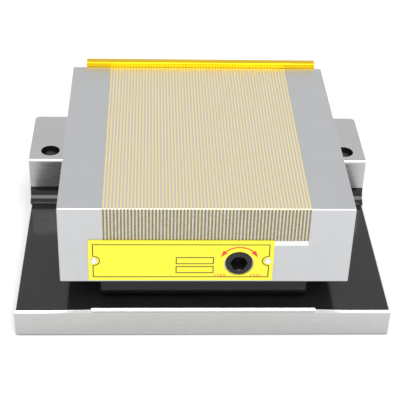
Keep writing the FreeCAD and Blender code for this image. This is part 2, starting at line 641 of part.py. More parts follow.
def build_cam_shaft():
    """Socketed head, journal and eccentric pin in one turned piece, along Y from the front face."""
    body = new_body("cam_shaft", CAM_DATUM)
    corner = "hex_flats * 0.5773503 + 0.2"
    turn(body, "cam_turning", "XY_Plane", [
        ("0", "0.8 - label_thick"),
        (corner, "0.1 - label_thick"),
        ("cam_head_dia / 2 - 0.5", "0.1 - label_thick"),
        ("cam_head_dia / 2", "0.6 - label_thick"),
        ("cam_head_dia / 2", "cam_head_length"),
        ("cam_stem_dia / 2", "cam_head_length"),
        ("cam_stem_dia / 2", "front_wall + 2 * fit_clear"),
        ("clip_bore / 2", "front_wall + 2 * fit_clear"),
        ("clip_bore / 2", "front_wall + clip_thick + 3 * fit_clear"),
        ("cam_stem_dia / 2", "front_wall + clip_thick + 3 * fit_clear"),
        ("cam_stem_dia / 2", "front_wall + pack_end_gap - 0.5"),
        ("0", "front_wall + pack_end_gap - 0.5"),
    ])
    turn(body, "stop_groove", "XY_Plane", [
        ("cam_head_dia / 2 - stop_reach - 0.2", "stop_inset - stop_dia / 2 - 0.2"),
        ("cam_head_dia / 2 + 1", "stop_inset - stop_dia / 2 - 0.2"),
        ("cam_head_dia / 2 + 1", "stop_inset + stop_dia / 2 + 0.2"),
        ("cam_head_dia / 2 - stop_reach - 0.2", "stop_inset + stop_dia / 2 + 0.2"),
    ], "Groove", angle=214)
    turn(body, "seal_groove", "XY_Plane", [
        ("seal_dia / 2", "seal_inset - seal_section / 2 - fit_clear"),
        ("cam_head_dia / 2 + 1", "seal_inset - seal_section / 2 - fit_clear"),
        ("cam_head_dia / 2 + 1", "seal_inset + seal_section / 2 + fit_clear"),
        ("seal_dia / 2", "seal_inset + seal_section / 2 + fit_clear"),
    ], "Groove")
    sketch = new_sketch(body, "eccentric_pin", "XZ_Plane", "0.5 - front_wall - pack_end_gap")
    add_circle(sketch, "-throw", "0", "cam_pin_dia")
    pad(body, sketch, "carrier_bar", back=True)
    sketch = new_sketch(body, "key_socket", "XZ_Plane", "label_thick")
    add_hexagon(sketch, "hex_flats", level=True)
    cut(body, sketch, "hex_depth + label_thick")
    return body


def build_shaft_bush():
    """Bronze bush behind the cam shaft's head."""
    body = new_body("shaft_bush", CAM_DATUM)
    sketch = new_sketch(body, "bush_round", "XZ_Plane", "-front_wall")
    add_circle(sketch, "0", "0", "cam_bore")
    add_circle(sketch, "0", "0", "cam_stem_dia + 2 * run_clear")
    pad(body, sketch, "front_wall - cam_head_length - fit_clear")
    return body


def build_shaft_clip():
    """Open retaining ring that holds the cam shaft in its wall."""
    body = new_body("shaft_clip", CAM_DATUM)
    sketch = new_sketch(body, "clip_round", "XZ_Plane", "-front_wall - 2.5 * fit_clear")
    add_circle(sketch, "0", "0", "clip_dia")
    add_circle(sketch, "0", "0", "clip_bore + fit_clear")
    pad(body, sketch, "clip_thick", back=True)
    sketch = new_sketch(body, "clip_gap", "XY_Plane")
    add_box(sketch, "0", "clip_dia", "front_wall", "front_wall + 2 * clip_thick")
    cut(body, sketch, "clip_bore / 2", both=True)
    return body


def build_shaft_seal():
    """Square-section seal ring in the cam shaft's head."""
    body = new_body("shaft_seal", CAM_DATUM)
    sketch = new_sketch(body, "seal_round", "XZ_Plane", "-seal_inset - seal_section / 2")
    add_circle(sketch, "0", "0", "cam_head_dia - fit_clear")
    add_circle(sketch, "0", "0", "seal_dia + fit_clear")
    pad(body, sketch, "seal_section")
    return body


def build_stop_pin():
    """Pin from below into the cam shaft's groove: it ends the turn at both positions."""
    body = new_body("stop_pin", ("cam_x", "body_mid_y - body_depth / 2 + stop_inset", "body_low_z"))
    sketch = new_sketch(body, "stop_round", "XY_Plane", "body_bevel")
    add_circle(sketch, "0", "0", "stop_dia")
    pad(body, sketch, "cam_height - cam_head_dia / 2 + stop_reach - body_bevel")
    return body


def build_label():
    """Plate on the front face, with holes for the cam shaft and two rivets."""
    body = new_body("label_plate", ("label_x", "body_mid_y - body_depth / 2", "body_low_z + label_z"))
    sketch = new_sketch(body, "label_outline", "XZ_Plane")
    add_box(sketch, "-label_width / 2", "label_width / 2", "-label_height / 2", "label_height / 2")
    add_circle(sketch, "cam_x - label_x", "cam_height - label_z", "label_hole")
    for side in ("-rivet_x", "rivet_x"):
        add_circle(sketch, side, "0", "rivet_dia + fit_clear")
    pad(body, sketch, "label_thick")
    return body


def build_rivets():
    """Round-head drive rivets of the label plate."""
    body = new_body("label_rivets", ("label_x - rivet_x", "body_mid_y - body_depth / 2 - label_thick",
                                     "body_low_z + label_z"))
    sphere = "((rivet_head / 2)^2 + rivet_dome^2) / (2 * rivet_dome)"
    rivet = turn(body, "rivet_turning", "XY_Plane", [
        ("0", "-rivet_dome", ("0", "%s - rivet_dome" % sphere), 1),
        ("rivet_head / 2", "0"),
        ("rivet_dia / 2", "0"),
        ("rivet_dia / 2", "label_thick + rivet_length"),
        ("0", "label_thick + rivet_length"),
    ])
    repeat(body, [rivet], "X_Axis", "2 * rivet_x", "2")
    return body


def build_barrel():
    """Hinge barrel with its flange, screwed under the body."""
    body = new_body("hinge_barrel", ("0", "pivot_y", "pivot_z"))
    sketch = new_sketch(body, "barrel_side", "YZ_Plane")
    add_outline(sketch, [
        ("-barrel_radius", "0", ("0", "0"), 1),
        ("barrel_radius", "0"),
        ("barrel_radius", "-pivot_drop - flange_thick"),
        ("flange_depth / 2", "-pivot_drop - flange_thick"),
        ("flange_depth / 2", "-pivot_drop"),
        ("rib_width / 2", "-pivot_drop"),
        ("rib_width / 2", "rib_rise - pivot_drop"),
        ("-rib_width / 2", "rib_rise - pivot_drop"),
        ("-rib_width / 2", "-pivot_drop"),
        ("-flange_depth / 2", "-pivot_drop"),
        ("-flange_depth / 2", "-pivot_drop - flange_thick"),
        ("-barrel_radius", "-pivot_drop - flange_thick"),
    ])
    pad(body, sketch, "barrel_length", both=True)
    sketch = new_sketch(body, "barrel_bore", "YZ_Plane")
    add_circle(sketch, "0", "0", "pin_dia + 2 * bush_wall")
    cut(body, sketch, "barrel_length + 2", both=True)
    seat = "-pivot_drop - flange_thick"
    for side in ("-barrel_bolt_x", "barrel_bolt_x"):
        for number, row in enumerate(("-barrel_bolt_y", "barrel_bolt_y")):
            name = "countersink_%s_%d" % ("left" if side[0] == "-" else "right", number)
            sketch = new_sketch(body, name, "XZ_Plane", "-(%s)" % row, side)
            add_outline(sketch, [("0", seat), ("fix_dia + fit_clear", seat),
                                 ("fix_dia / 2 + fit_clear", "%s + fix_dia / 2" % seat),
                                 ("fix_dia / 2 + fit_clear", "-pivot_drop + 1"), ("0", "-pivot_drop + 1")])
            feature = body.newObject("PartDesign::Groove", name + "_groove")
            feature.Profile = sketch
            feature.ReferenceAxis = (sketch, ["V_Axis"])
            feature.Angle = 360
            sketch.Visibility = False
            doc.recompute()
    return body


def build_bushes():
    """Bronze bushes in the barrel's ends."""
    body = new_body("hinge_bushes", ("0", "pivot_y", "pivot_z"))
    sketch = new_sketch(body, "hinge_bush_round", "YZ_Plane", "barrel_length / 2 - bush_length")
    add_circle(sketch, "0", "0", "pin_dia + 2 * bush_wall")
    add_circle(sketch, "0", "0", "pin_dia + 2 * run_clear")
    mirror(body, [pad(body, sketch, "bush_length")])
    return body


def build_barrel_screws():
    """Countersunk screws up through the barrel's flange."""
    body = new_body("barrel_screws", ("0", "pivot_y - barrel_bolt_y", "body_low_z - flange_thick"))
    corners = flat_head("fix_dia", "(flange_thick + floor_thick - 0.5)")
    parts = make_screw(body, corners, "0", "fix_dia * 0.6", "fix_dia * 0.4", head=-1, shift="-barrel_bolt_x")
    grid = repeat(body, parts, "X_Axis", "2 * barrel_bolt_x", "2")
    grid.Direction2 = (origin(body, "Y_Axis"), [""])
    grid.setExpression("Length2", ref("2 * barrel_bolt_y"))
    grid.Occurrences2 = 2
    doc.recompute()
    return body


def build_roller():
    """Ground roller that rests on the land or on gauge blocks."""
    body = new_body("sine_roller", ("0", "body_mid_y + roller_back", "pivot_z"))
    sketch = new_sketch(body, "roller_round", "YZ_Plane")
    add_circle(sketch, "0", "0", "roller_dia")
    roller = pad(body, sketch, "roller_length", both=True)
    ends = edges_at(roller, lambda p: abs(p.x) > value("roller_bolt_x"))
    dress(body, "Chamfer", roller, ends, "1")
    for name, dia, depth in (("roller_bore", "fix_dia + 2 * fit_clear", "roller_dia + 1"),
                             ("roller_head_bore", "fix_head + 0.5", "fix_dia + 0.5")):
        sketch = new_sketch(body, name, "XY_Plane", "-roller_dia / 2")
        for side in ("-roller_bolt_x", "roller_bolt_x"):
            add_circle(sketch, side, "0", dia)
        cut(body, sketch, depth, back=True)
    return body


def build_roller_screws():
    """Screws up through the roller into the body's front wall."""
    body = new_body("roller_screws", ("0", "body_mid_y + roller_back",
                                      "pivot_z - roller_dia / 2 + fix_dia + 0.5"))
    length = "(roller_dia / 2 - fix_dia - 0.5 - pivot_drop + vee_half + roller_bolt_grip - 1)"
    parts = make_screw(body, cap_head("fix_dia", "fix_head", length), "fix_dia", "fix_dia * 0.8",
                       "fix_dia / 2", head=-1, shift="roller_bolt_x")
    mirror(body, parts)
    return body


def build_rail():
    """Stop rail along the back edge, on upright slots so that it can be set or sunk."""
    body = new_body("stop_rail", ("rail_x", "body_mid_y + body_depth / 2 + run_clear", "body_low_z"))
    sketch = new_sketch(body, "rail_side", "YZ_Plane")
    add_outline(sketch, [
        ("0", "rail_top - rail_height"),
        ("rail_thick", "rail_top - rail_height"),
        ("rail_thick", "rail_top - rail_round", ("rail_thick - rail_round", "rail_top - rail_round"), 1),
        ("rail_thick - rail_round", "rail_top"),
        ("rail_round", "rail_top", ("rail_round", "rail_top - rail_round"), 1),
        ("0", "rail_top - rail_round"),
    ])
    pad(body, sketch, "rail_length", both=True)
    half = "(fix_dia / 2 + 2 * fit_clear)"
    sketch = new_sketch(body, "rail_slots", "XZ_Plane", "-rail_thick")
    for side in ("-rail_bolt_x", "rail_bolt_x"):
        add_outline(sketch, [
            ("%s - %s" % (side, half), "rail_bolt_z - rail_up", (side, "rail_bolt_z - rail_up"), 1),
            ("%s + %s" % (side, half), "rail_bolt_z - rail_up"),
            ("%s + %s" % (side, half), "rail_bolt_z + rail_down", (side, "rail_bolt_z + rail_down"), 1),
            ("%s - %s" % (side, half), "rail_bolt_z + rail_down"),
        ])
    cut(body, sketch, "rail_thick", back=True)
    return body


def build_rail_washers():
    """Washers between the rail and its screws' heads."""
    body = new_body("rail_washers", ("rail_x - rail_bolt_x", "rail_back_y", "body_low_z + rail_bolt_z"))
    sketch = new_sketch(body, "rail_washer_round", "XZ_Plane")
    add_circle(sketch, "0", "0", "washer_dia")
    add_circle(sketch, "0", "0", "fix_dia + 2 * fit_clear")
    washer = pad(body, sketch, "washer_thick", back=True)
    repeat(body, [washer], "X_Axis", "2 * rail_bolt_x", "2")
    return body


def build_rail_screws():
    """Cap screws through the rail's slots into the body's back."""
    body = new_body("rail_screws", ("rail_x - rail_bolt_x", "rail_back_y + washer_thick",
                                    "body_low_z + rail_bolt_z"))
    corners = cap_head("fix_dia", "fix_head", "(rear_wall + rail_thick + washer_thick)")
    parts = make_screw(body, corners, "fix_dia", "fix_dia * 0.8", "fix_dia / 2", role="XY_Plane")
    repeat(body, parts, "X_Axis", "2 * rail_bolt_x", "2")
    return body


def check(objects):
    """Stop where an object failed to compute."""
    for thing in doc.Objects:
        if any(word in thing.State for word in ("Invalid", "Error")):
            raise RuntimeError("%s did not compute: %s" % (thing.Name, thing.State))
    for thing in objects:
        if thing.Shape.isNull() or not thing.Shape.isValid():
            raise RuntimeError("%s has no sound shape" % thing.Label)


def main():
    """Build every piece and write one STEP file for each."""
    objects = [
        build_base(), build_hinge_shaft(), build_ear_screws(), build_thrust_washers(),
        build_housing(), build_barrel(), build_bushes(), build_barrel_screws(),
        build_roller(), build_roller_screws(),
        build_strips("brass_strips", "-pack_width / 2", "brass_thick", "brass_count"),
        build_strips("steel_strips", "brass_thick - pack_width / 2", "steel_thick", "(brass_count - 1)"),
        build_seat_frame(), build_wear_shim(), build_slide_keys(),
        build_magnet_carrier(),
        build_pack_pieces("flux_plates", "-stack_width / 2", "(magnet_count + 1)"),
        build_pack_pieces("magnets", "travel - stack_width / 2", "magnet_count"),
        build_cam_shaft(), build_shaft_bush(), build_shaft_clip(), build_shaft_seal(), build_stop_pin(),
        build_label(), build_rivets(),
        build_rail(), build_rail_washers(), build_rail_screws(),
    ]
    doc.recompute()
    check(objects)
    os.makedirs("parts", exist_ok=True)
    for thing in objects:
        thing.Shape.exportStep("parts/%s.step" % thing.Label)


main()
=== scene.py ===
"""Looks of a square magnetic chuck that tilts on a flat base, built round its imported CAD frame."""

import logging
import math
from dataclasses import dataclass
from enum import Enum
from typing import Callable, Sequence

import bmesh
import bpy
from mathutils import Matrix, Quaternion, Vector


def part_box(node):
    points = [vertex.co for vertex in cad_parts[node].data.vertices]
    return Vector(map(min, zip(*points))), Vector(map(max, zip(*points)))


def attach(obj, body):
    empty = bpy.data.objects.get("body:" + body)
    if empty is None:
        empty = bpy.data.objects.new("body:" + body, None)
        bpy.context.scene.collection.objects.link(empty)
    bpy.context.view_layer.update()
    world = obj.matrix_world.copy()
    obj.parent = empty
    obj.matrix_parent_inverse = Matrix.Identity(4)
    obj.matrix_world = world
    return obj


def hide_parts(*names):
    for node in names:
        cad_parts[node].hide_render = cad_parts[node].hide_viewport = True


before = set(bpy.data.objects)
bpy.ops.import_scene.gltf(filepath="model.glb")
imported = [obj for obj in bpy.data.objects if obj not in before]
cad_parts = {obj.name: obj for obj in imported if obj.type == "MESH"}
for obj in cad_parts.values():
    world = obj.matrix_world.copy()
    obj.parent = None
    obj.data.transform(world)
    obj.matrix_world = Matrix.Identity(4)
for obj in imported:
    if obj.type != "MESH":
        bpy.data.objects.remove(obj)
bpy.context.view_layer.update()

HAIR = 1e-6
FLAT = 0.9
ACROSS = 0.1
UPRIGHT = Vector((0, -1, 0))
LINE_STRETCH = 0.012

log = logging.getLogger("magnetic_chuck")

Test = Callable[[Vector, Vector], bool]
Colour = tuple[float, float, float]


class Axis(Enum):
    """The three directions of the frame."""

    X = 0
    Y = 1
    Z = 2


class Noise(Enum):
    """Noise sizes, as cycles a metre."""

    COARSE = 60.0
    MIDDLE = 420.0
    FINE = 1500.0
    HAIRLINE = 5200.0


# ---- bench: edit-mode work on one mesh


def clear_selection() -> None:
    """Leave edit mode and deselect every object."""
    if bpy.context.object is not None and bpy.context.object.mode != "OBJECT":
        bpy.ops.object.mode_set(mode="OBJECT")
    bpy.ops.object.select_all(action="DESELECT")


def take(piece: bpy.types.Object) -> None:
    """Make piece the only selected object and the active one."""
    clear_selection()
    piece.select_set(True)
    bpy.context.view_layer.objects.active = piece


def settle(piece: bpy.types.Object) -> bpy.types.Object:
    """Put piece's place, turn and scale into its mesh."""
    take(piece)
    bpy.ops.object.transform_apply(location=True, rotation=True, scale=True)
    return piece


def block(name: str, low: Sequence[float], high: Sequence[float]) -> bpy.types.Object:
    """Add a box between two corners.

    Args:
        name: name of the new object.
        low: lowest corner, in metres.
        high: highest corner, in metres.

    Returns:
        The new object, with its place in its mesh.
    """
    clear_selection()
    low, high = Vector(low), Vector(high)
    bpy.ops.mesh.primitive_cube_add(size=1, location=(low + high) / 2, scale=high - low)
    piece = bpy.context.object
    piece.name = name
    return settle(piece)


def rod(name: str, radius: float, start: Sequence[float], end: Sequence[float],
        sides: int = 64, turn: float = 0.0) -> bpy.types.Object:
    """Add a prism or cylinder between two points.

    Args:
        name: name of the new object.
        radius: distance from the axis to a corner.
        start: centre of the first end face.
        end: centre of the other end face.
        sides: number of side faces.
        turn: degrees that it is turned about its own axis.

    Returns:
        The new object, with its place in its mesh.
    """
    clear_selection()
    start, end = Vector(start), Vector(end)
    along = end - start
    bpy.ops.mesh.primitive_cylinder_add(vertices=sides, radius=radius, depth=along.length)
    piece = bpy.context.object
    piece.name = name
    piece.rotation_mode = "QUATERNION"
    piece.rotation_quaternion = (along.to_track_quat("Z", "Y")
                                 @ Quaternion((0, 0, 1), math.radians(turn)))
    piece.location = (start + end) / 2
    return settle(piece)


class Bench:
    """Edit mode on one piece, with picks by place and direction."""

    def __init__(self, piece: bpy.types.Object) -> None:
        """Take the piece that is to be shaped."""
        self.piece = piece

    def __enter__(self) -> "Bench":
        """Go into edit mode."""
        take(self.piece)
        bpy.ops.object.mode_set(mode="EDIT")
        bpy.ops.mesh.select_all(action="DESELECT")
        return self

    def __exit__(self, *_: object) -> None:
        """Go back to object mode."""
        bpy.ops.object.mode_set(mode="OBJECT")

    def everything(self) -> None:
        """Pick the whole mesh."""
        bpy.ops.mesh.select_all(action="SELECT")

    def faces(self, test: Test) -> int:
        """Pick faces.

        Args:
            test: says of a face's centre and normal whether it is picked.

        Returns:
            How many faces were picked.
        """
        bpy.ops.mesh.select_mode(type="FACE")
        bpy.ops.mesh.select_all(action="DESELECT")
        mesh = bmesh.from_edit_mesh(self.piece.data)
        for face in mesh.faces:
            face.select_set(test(face.calc_center_bounds(), face.normal))
        mesh.select_flush_mode()
        bmesh.update_edit_mesh(self.piece.data)
        return sum(face.select for face in mesh.faces)

    def edges(self, test: Test) -> int:
        """Pick edges.

        Args:
            test: says of an edge's middle and unit direction whether it is picked.

        Returns:
            How many edges were picked.
        """
        bpy.ops.mesh.select_mode(type="EDGE")
        bpy.ops.mesh.select_all(action="DESELECT")
        mesh = bmesh.from_edit_mesh(self.piece.data)
        for edge in mesh.edges:
            one, other = edge.verts[0].co, edge.verts[1].co
            edge.select_set(test((one + other) / 2, (other - one).normalized()))
        bmesh.update_edit_mesh(self.piece.data)
        return sum(edge.select for edge in mesh.edges)

    def extrude(self, offset: Sequence[float]) -> None:
        """Extrude what is picked by an offset."""
        bpy.ops.mesh.extrude_region_move(TRANSFORM_OT_translate={"value": tuple(offset)})

    def inset(self, thickness: float, depth: float = 0.0, each: bool = False) -> None:
        """Inset the picked faces."""
        bpy.ops.mesh.inset(thickness=thickness, depth=depth, use_individual=each)

    def bevel(self, width: float, segments: int = 1, clamp: bool = False) -> None:
        """Bevel the picked edges."""
        bpy.ops.mesh.bevel(offset=width, segments=segments, profile=0.5, affect="EDGES",
                           offset_type="OFFSET", clamp_overlap=clamp)

    def slice(self, place: Sequence[float], normal: Sequence[float]) -> None:
        """Cut what is picked along a plane and keep both sides."""
        bpy.ops.mesh.bisect(plane_co=tuple(place), plane_no=tuple(normal), threshold=HAIR)

    def spin(self, centre: Sequence[float], axis: Sequence[float], angle: float, steps: int) -> None:
        """Sweep what is picked round an axis."""
        bpy.ops.mesh.spin(steps=steps, angle=angle, center=tuple(centre), axis=tuple(axis))

    def tidy(self) -> None:
        """Merge doubled corners and turn every face outwards."""
        self.everything()
        bpy.ops.mesh.remove_doubles(threshold=HAIR)
        bpy.ops.mesh.normals_make_consistent(inside=False)


def cut_away(piece: bpy.types.Object, *cutters: bpy.types.Object) -> None:
    """Cut solids out of piece and throw the cutters away."""
    for cutter in cutters:
        combine(piece, cutter, "DIFFERENCE")


def combine(piece: bpy.types.Object, other: bpy.types.Object, how: str) -> None:
    """Apply one boolean of two solids to the first, and remove the second.

    Args:
        piece: the solid that is kept.
        other: the solid that is used up.
        how: DIFFERENCE or UNION.
    """
    take(piece)
    step = piece.modifiers.new("solid", "BOOLEAN")
    step.operation = how
    step.solver = "EXACT"
    step.object = other
    bpy.ops.object.modifier_apply(modifier=step.name)
    bpy.data.objects.remove(other, do_unlink=True)


def smooth(piece: bpy.types.Object, angle: float = 40) -> None:
    """Shade bends under an angle smooth, with the large faces kept flat.

    Args:
        piece: the solid.
        angle: sharper edges than this many degrees stay sharp.
    """
    take(piece)
    bpy.ops.object.shade_smooth_by_angle(angle=math.radians(angle))
    step = piece.modifiers.new("weights", "WEIGHTED_NORMAL")
    step.keep_sharp = True
    bpy.ops.object.modifier_apply(modifier=step.name)


def ease_edges(piece: bpy.types.Object, width: float, segments: int = 2, angle: float = 28) -> None:
    """Round every sharp edge a little and shade the rest smooth.

    Args:
        piece: the solid.
        width: width of the rounding.
        segments: faces across it.
        angle: edges sharper than this many degrees are rounded.
    """
    take(piece)
    step = piece.modifiers.new("edges", "BEVEL")
    step.width = width
    step.segments = segments
    step.limit_method = "ANGLE"
    step.angle_limit = math.radians(angle)
    bpy.ops.object.modifier_apply(modifier=step.name)
    smooth(piece, angle + 12)


def copy_of(piece: bpy.types.Object, name: str, turn: Quaternion, place: Vector) -> bpy.types.Object:
    """Copy a piece made upright at the origin to its place, with a mesh of its own."""
    made = piece.copy()
    made.data = piece.data.copy()
    made.name = name
    bpy.context.scene.collection.objects.link(made)
    made.rotation_mode = "QUATERNION"
    made.rotation_quaternion = turn
    made.location = place
    return settle(made)


def join(name: str, parts: Sequence[bpy.types.Object]) -> bpy.types.Object:
    """Join meshes into one object."""
    clear_selection()
    for part in parts:
        part.select_set(True)
    bpy.context.view_layer.objects.active = parts[0]
    bpy.ops.object.join()
    parts[0].name = name
    return parts[0]


# ---- finishes


class Recipe:
    """Node tree of one finish, built round its surface shader."""

    def __init__(self, name: str) -> None:
        """Start a material with an empty surface shader."""
        self.material = bpy.data.materials.new(name)
        self.material.use_nodes = True
        self.tree = self.material.node_tree
        self.surface = self.tree.nodes["Principled BSDF"]
        coordinates = self.tree.nodes.new("ShaderNodeTexCoord")
        self.place = coordinates.outputs["Object"]
        self.facing = coordinates.outputs["Normal"]

    def put(self, socket: bpy.types.NodeSocket, value: object) -> None:
        """Set a socket to a constant, or link it to another node's output."""
        if isinstance(value, bpy.types.NodeSocket):
            self.tree.links.new(value, socket)
        elif isinstance(value, tuple) and len(value) == 3 and socket.type == "RGBA":
            socket.default_value = (*value, 1.0)
        else:
            socket.default_value = value

    def node(self, kind: str, sockets: dict[object, object], **settings: object) -> bpy.types.Node:
        """Add a node.

        Args:
            kind: node type without its prefix.
            sockets: input name or number and its value.
            settings: properties of the node.

        Returns:
            The node.
        """
        made = self.tree.nodes.new("ShaderNode" + kind)
        for name, value in settings.items():
            setattr(made, name, value)
        for name, value in sockets.items():
            self.put(made.inputs[name], value)
        return made

    def shader(self, sockets: dict[str, object]) -> None:
        """Set the surface's sockets."""
        for name, value in sockets.items():
            self.put(self.surface.inputs[name], value)

    def math(self, how: str, one: object, other: object = 0.0) -> bpy.types.NodeSocket:
        """Work out one sum of two values."""
        return self.node("Math", {0: one, 1: other}, operation=how).outputs[0]

    def mix(self, share: object, one: object, other: object) -> bpy.types.NodeSocket:
        """Mix two colours."""
        return self.node("Mix", {0: share, 6: one, 7: other}, data_type="RGBA").outputs[2]

    def blend(self, share: object, one: object, other: object) -> bpy.types.NodeSocket:
        """Mix two values."""
        return self.node("Mix", {0: share, 2: one, 3: other}, data_type="FLOAT").outputs[0]

    def spread(self, value: object, low: float, high: float,
               start: float = 0.3, end: float = 0.7) -> bpy.types.NodeSocket:
        """Spread part of a value's range over another range."""
        sockets = {"Value": value, "From Min": start, "From Max": end, "To Min": low, "To Max": high}
        return self.node("MapRange", sockets).outputs[0]

    def noise(self, scale: float, detail: float = 2.0,
              stretch: Sequence[float] = (1, 1, 1)) -> bpy.types.NodeSocket:
        """Noise on the object's own coordinates.

        Args:
            scale: cycles a metre.
            detail: number of finer layers.
            stretch: factor on each coordinate, small along a line pattern.

        Returns:
            The pattern, about 0.5 in the mean.
        """
        moved = self.node("Mapping", {"Vector": self.place, "Scale": tuple(stretch)}).outputs[0]
        return self.node("TexNoise", {"Vector": moved, "Scale": scale, "Detail": detail}).outputs["Fac"]

    def lines(self, along: Axis, scale: float) -> bpy.types.NodeSocket:
        """Fine lines along one axis."""
        return self.noise(scale, 3.0, [LINE_STRETCH if n == along.value else 1.0 for n in range(3)])

    def around(self, pattern: object, middle: float, part: float) -> bpy.types.NodeSocket:
        """Let a value vary round its middle with a pattern."""
        return self.spread(pattern, middle - part, middle + part)

    def bump(self, height: object, distance: float) -> bpy.types.NodeSocket:
        """Turn a height pattern into a normal."""
        return self.node("Bump", {"Height": height, "Distance": distance}).outputs[0]

    def part(self, source: bpy.types.NodeSocket, axis: Axis) -> bpy.types.NodeSocket:
        """One coordinate of a vector."""
        return self.node("SeparateXYZ", {0: source}).outputs[axis.value]

    def faces(self, axis: Axis) -> bpy.types.NodeSocket:
        """One where the surface faces along an axis, either way."""
        return self.math("GREATER_THAN", self.math("ABSOLUTE", self.part(self.facing, axis)), 0.7)


@dataclass(frozen=True)
class Ground:
    """Ground metal: fine lines along X on its faces and along Y on its ends, or a matt top, with optional
    painted contact shade darker towards the floor.
    """

    name: str
    colour: Colour
    rough: float
    line: float = 0.05
    speck: float = 0.04
    cut: float = 0.000002
    matt_top: bool = False
    painted_contact_shade: float = 0.0
    painted_contact_shade_height: float = 0.0165

    def make(self) -> bpy.types.Material:
        """Build the material."""
        recipe = Recipe(self.name)
        grain = recipe.blend(recipe.faces(Axis.X), recipe.lines(Axis.X, Noise.HAIRLINE.value),
                             recipe.lines(Axis.Y, Noise.HAIRLINE.value))
        speck = recipe.noise(Noise.HAIRLINE.value * 0.7, 4.0)
        if self.matt_top:
            grain = recipe.blend(recipe.faces(Axis.Z), grain, speck)
        cloud = recipe.noise(Noise.COARSE.value, 2.0)
        shade = recipe.math("ADD", recipe.spread(grain, 1 - self.line, 1 + self.line),
                            recipe.spread(speck, -self.speck, self.speck))
        shade = recipe.math("MULTIPLY", shade, recipe.spread(cloud, 0.985, 1.015))
        # Painted contact shade: the colour darkens towards the floor over the lowest part of the height.
        if self.painted_contact_shade:
            height = recipe.part(recipe.place, Axis.Z)
            shade = recipe.math("MULTIPLY", shade,
                                recipe.spread(height, 1 - self.painted_contact_shade, 1.0, 0.0, self.painted_contact_shade_height))
        dark = tuple(0.5 * part for part in self.colour)
        bright = tuple(min(1.0, 1.5 * part) for part in self.colour)
        recipe.shader({
            "Base Color": recipe.mix(recipe.spread(shade, 0.0, 1.0, 0.5, 1.5), dark, bright),
            "Metallic": 1.0,
            "Roughness": recipe.around(grain, self.rough, 0.04),
            "Normal": recipe.bump(grain, self.cut)})
        return recipe.material


@dataclass(frozen=True)
class Coat:
    """Stoved or baked coating, with a slight orange peel and a faint mottle."""

    name: str
    colour: Colour
    rough: float
    peel: float = 0.000004
    mottle: float = 0.12
    shine: float = 0.36

    def make(self) -> bpy.types.Material:
        """Build the material."""
        recipe = Recipe(self.name)
        cloud = recipe.noise(Noise.COARSE.value, 3.0)
        dark = tuple(part * (1 - self.mottle) for part in self.colour)
        bright = tuple(min(1.0, part * (1 + self.mottle)) for part in self.colour)
        recipe.shader({
            "Base Color": recipe.mix(recipe.spread(cloud, 0.0, 1.0), dark, bright),
            "Specular IOR Level": self.shine,
            "Roughness": recipe.around(cloud, self.rough, 0.02),
            "Normal": recipe.bump(recipe.noise(Noise.MIDDLE.value), self.peel)})
        return recipe.material


@dataclass(frozen=True)
class BlackOxide:
    """Blued steel: nearly black and satin, with brighter worn specks."""

    name: str
    colour: Colour = (0.014, 0.014, 0.015)
    rough: float = 0.34

    def make(self) -> bpy.types.Material:
        """Build the material."""
        recipe = Recipe(self.name)
        speck = recipe.noise(Noise.FINE.value, 3.0)
        bright = tuple(3 * part for part in self.colour)
        recipe.shader({
            "Base Color": recipe.mix(recipe.spread(speck, 0.0, 1.0, 0.55, 0.8), self.colour, bright),
            "Metallic": 0.5,
            "Roughness": recipe.around(recipe.noise(Noise.MIDDLE.value), self.rough, 0.05),
            "Normal": recipe.bump(speck, 0.000006)})
        return recipe.material


@dataclass(frozen=True)
class StripMetal:
    """Pole strip: ground flush on the working face, of another colour at its ends."""

    name: str
    colour: Colour
    end_colour: Colour
    rough: float
    front: float
    back: float
    end_depth: float = 0.0003

    def make(self) -> bpy.types.Material:
        """Build the material."""
        recipe = Recipe(self.name)
        speck = recipe.noise(Noise.HAIRLINE.value * 0.7, 4.0)
        stain = recipe.noise(Noise.FINE.value, 3.0)
        depth = recipe.part(recipe.place, Axis.Y)
        ended = recipe.math("ADD", recipe.math("LESS_THAN", depth, self.front + self.end_depth),
                            recipe.math("GREATER_THAN", depth, self.back - self.end_depth))
        dark = tuple(0.92 * part for part in self.colour)
        deep = tuple(0.7 * part for part in self.end_colour)
        top = recipe.mix(recipe.spread(speck, 0.0, 1.0), dark, self.colour)
        end = recipe.mix(recipe.spread(stain, 0.0, 1.0), deep, self.end_colour)
        recipe.shader({
            "Base Color": recipe.mix(ended, top, end), "Metallic": 1.0,
            "Roughness": recipe.around(speck, self.rough, 0.05),
            "Normal": recipe.bump(speck, 0.000002)})
        return recipe.material


@dataclass(frozen=True)
class Matt:
    """Ink, rubber or sintered material with a fine grain."""

    name: str
    colour: Colour
    rough: float = 0.6
    grain: float = 0.000004

    def make(self) -> bpy.types.Material:
        """Build the material."""
        recipe = Recipe(self.name)
        grit = recipe.noise(Noise.FINE.value, 4.0)
        pale = tuple(min(1.0, 1.2 * part + 0.003) for part in self.colour)
        recipe.shader({
            "Base Color": recipe.mix(recipe.spread(grit, 0.0, 1.0), self.colour, pale),
            "Roughness": recipe.around(grit, self.rough, 0.06),
            "Normal": recipe.bump(grit, self.grain)})
        return recipe.material


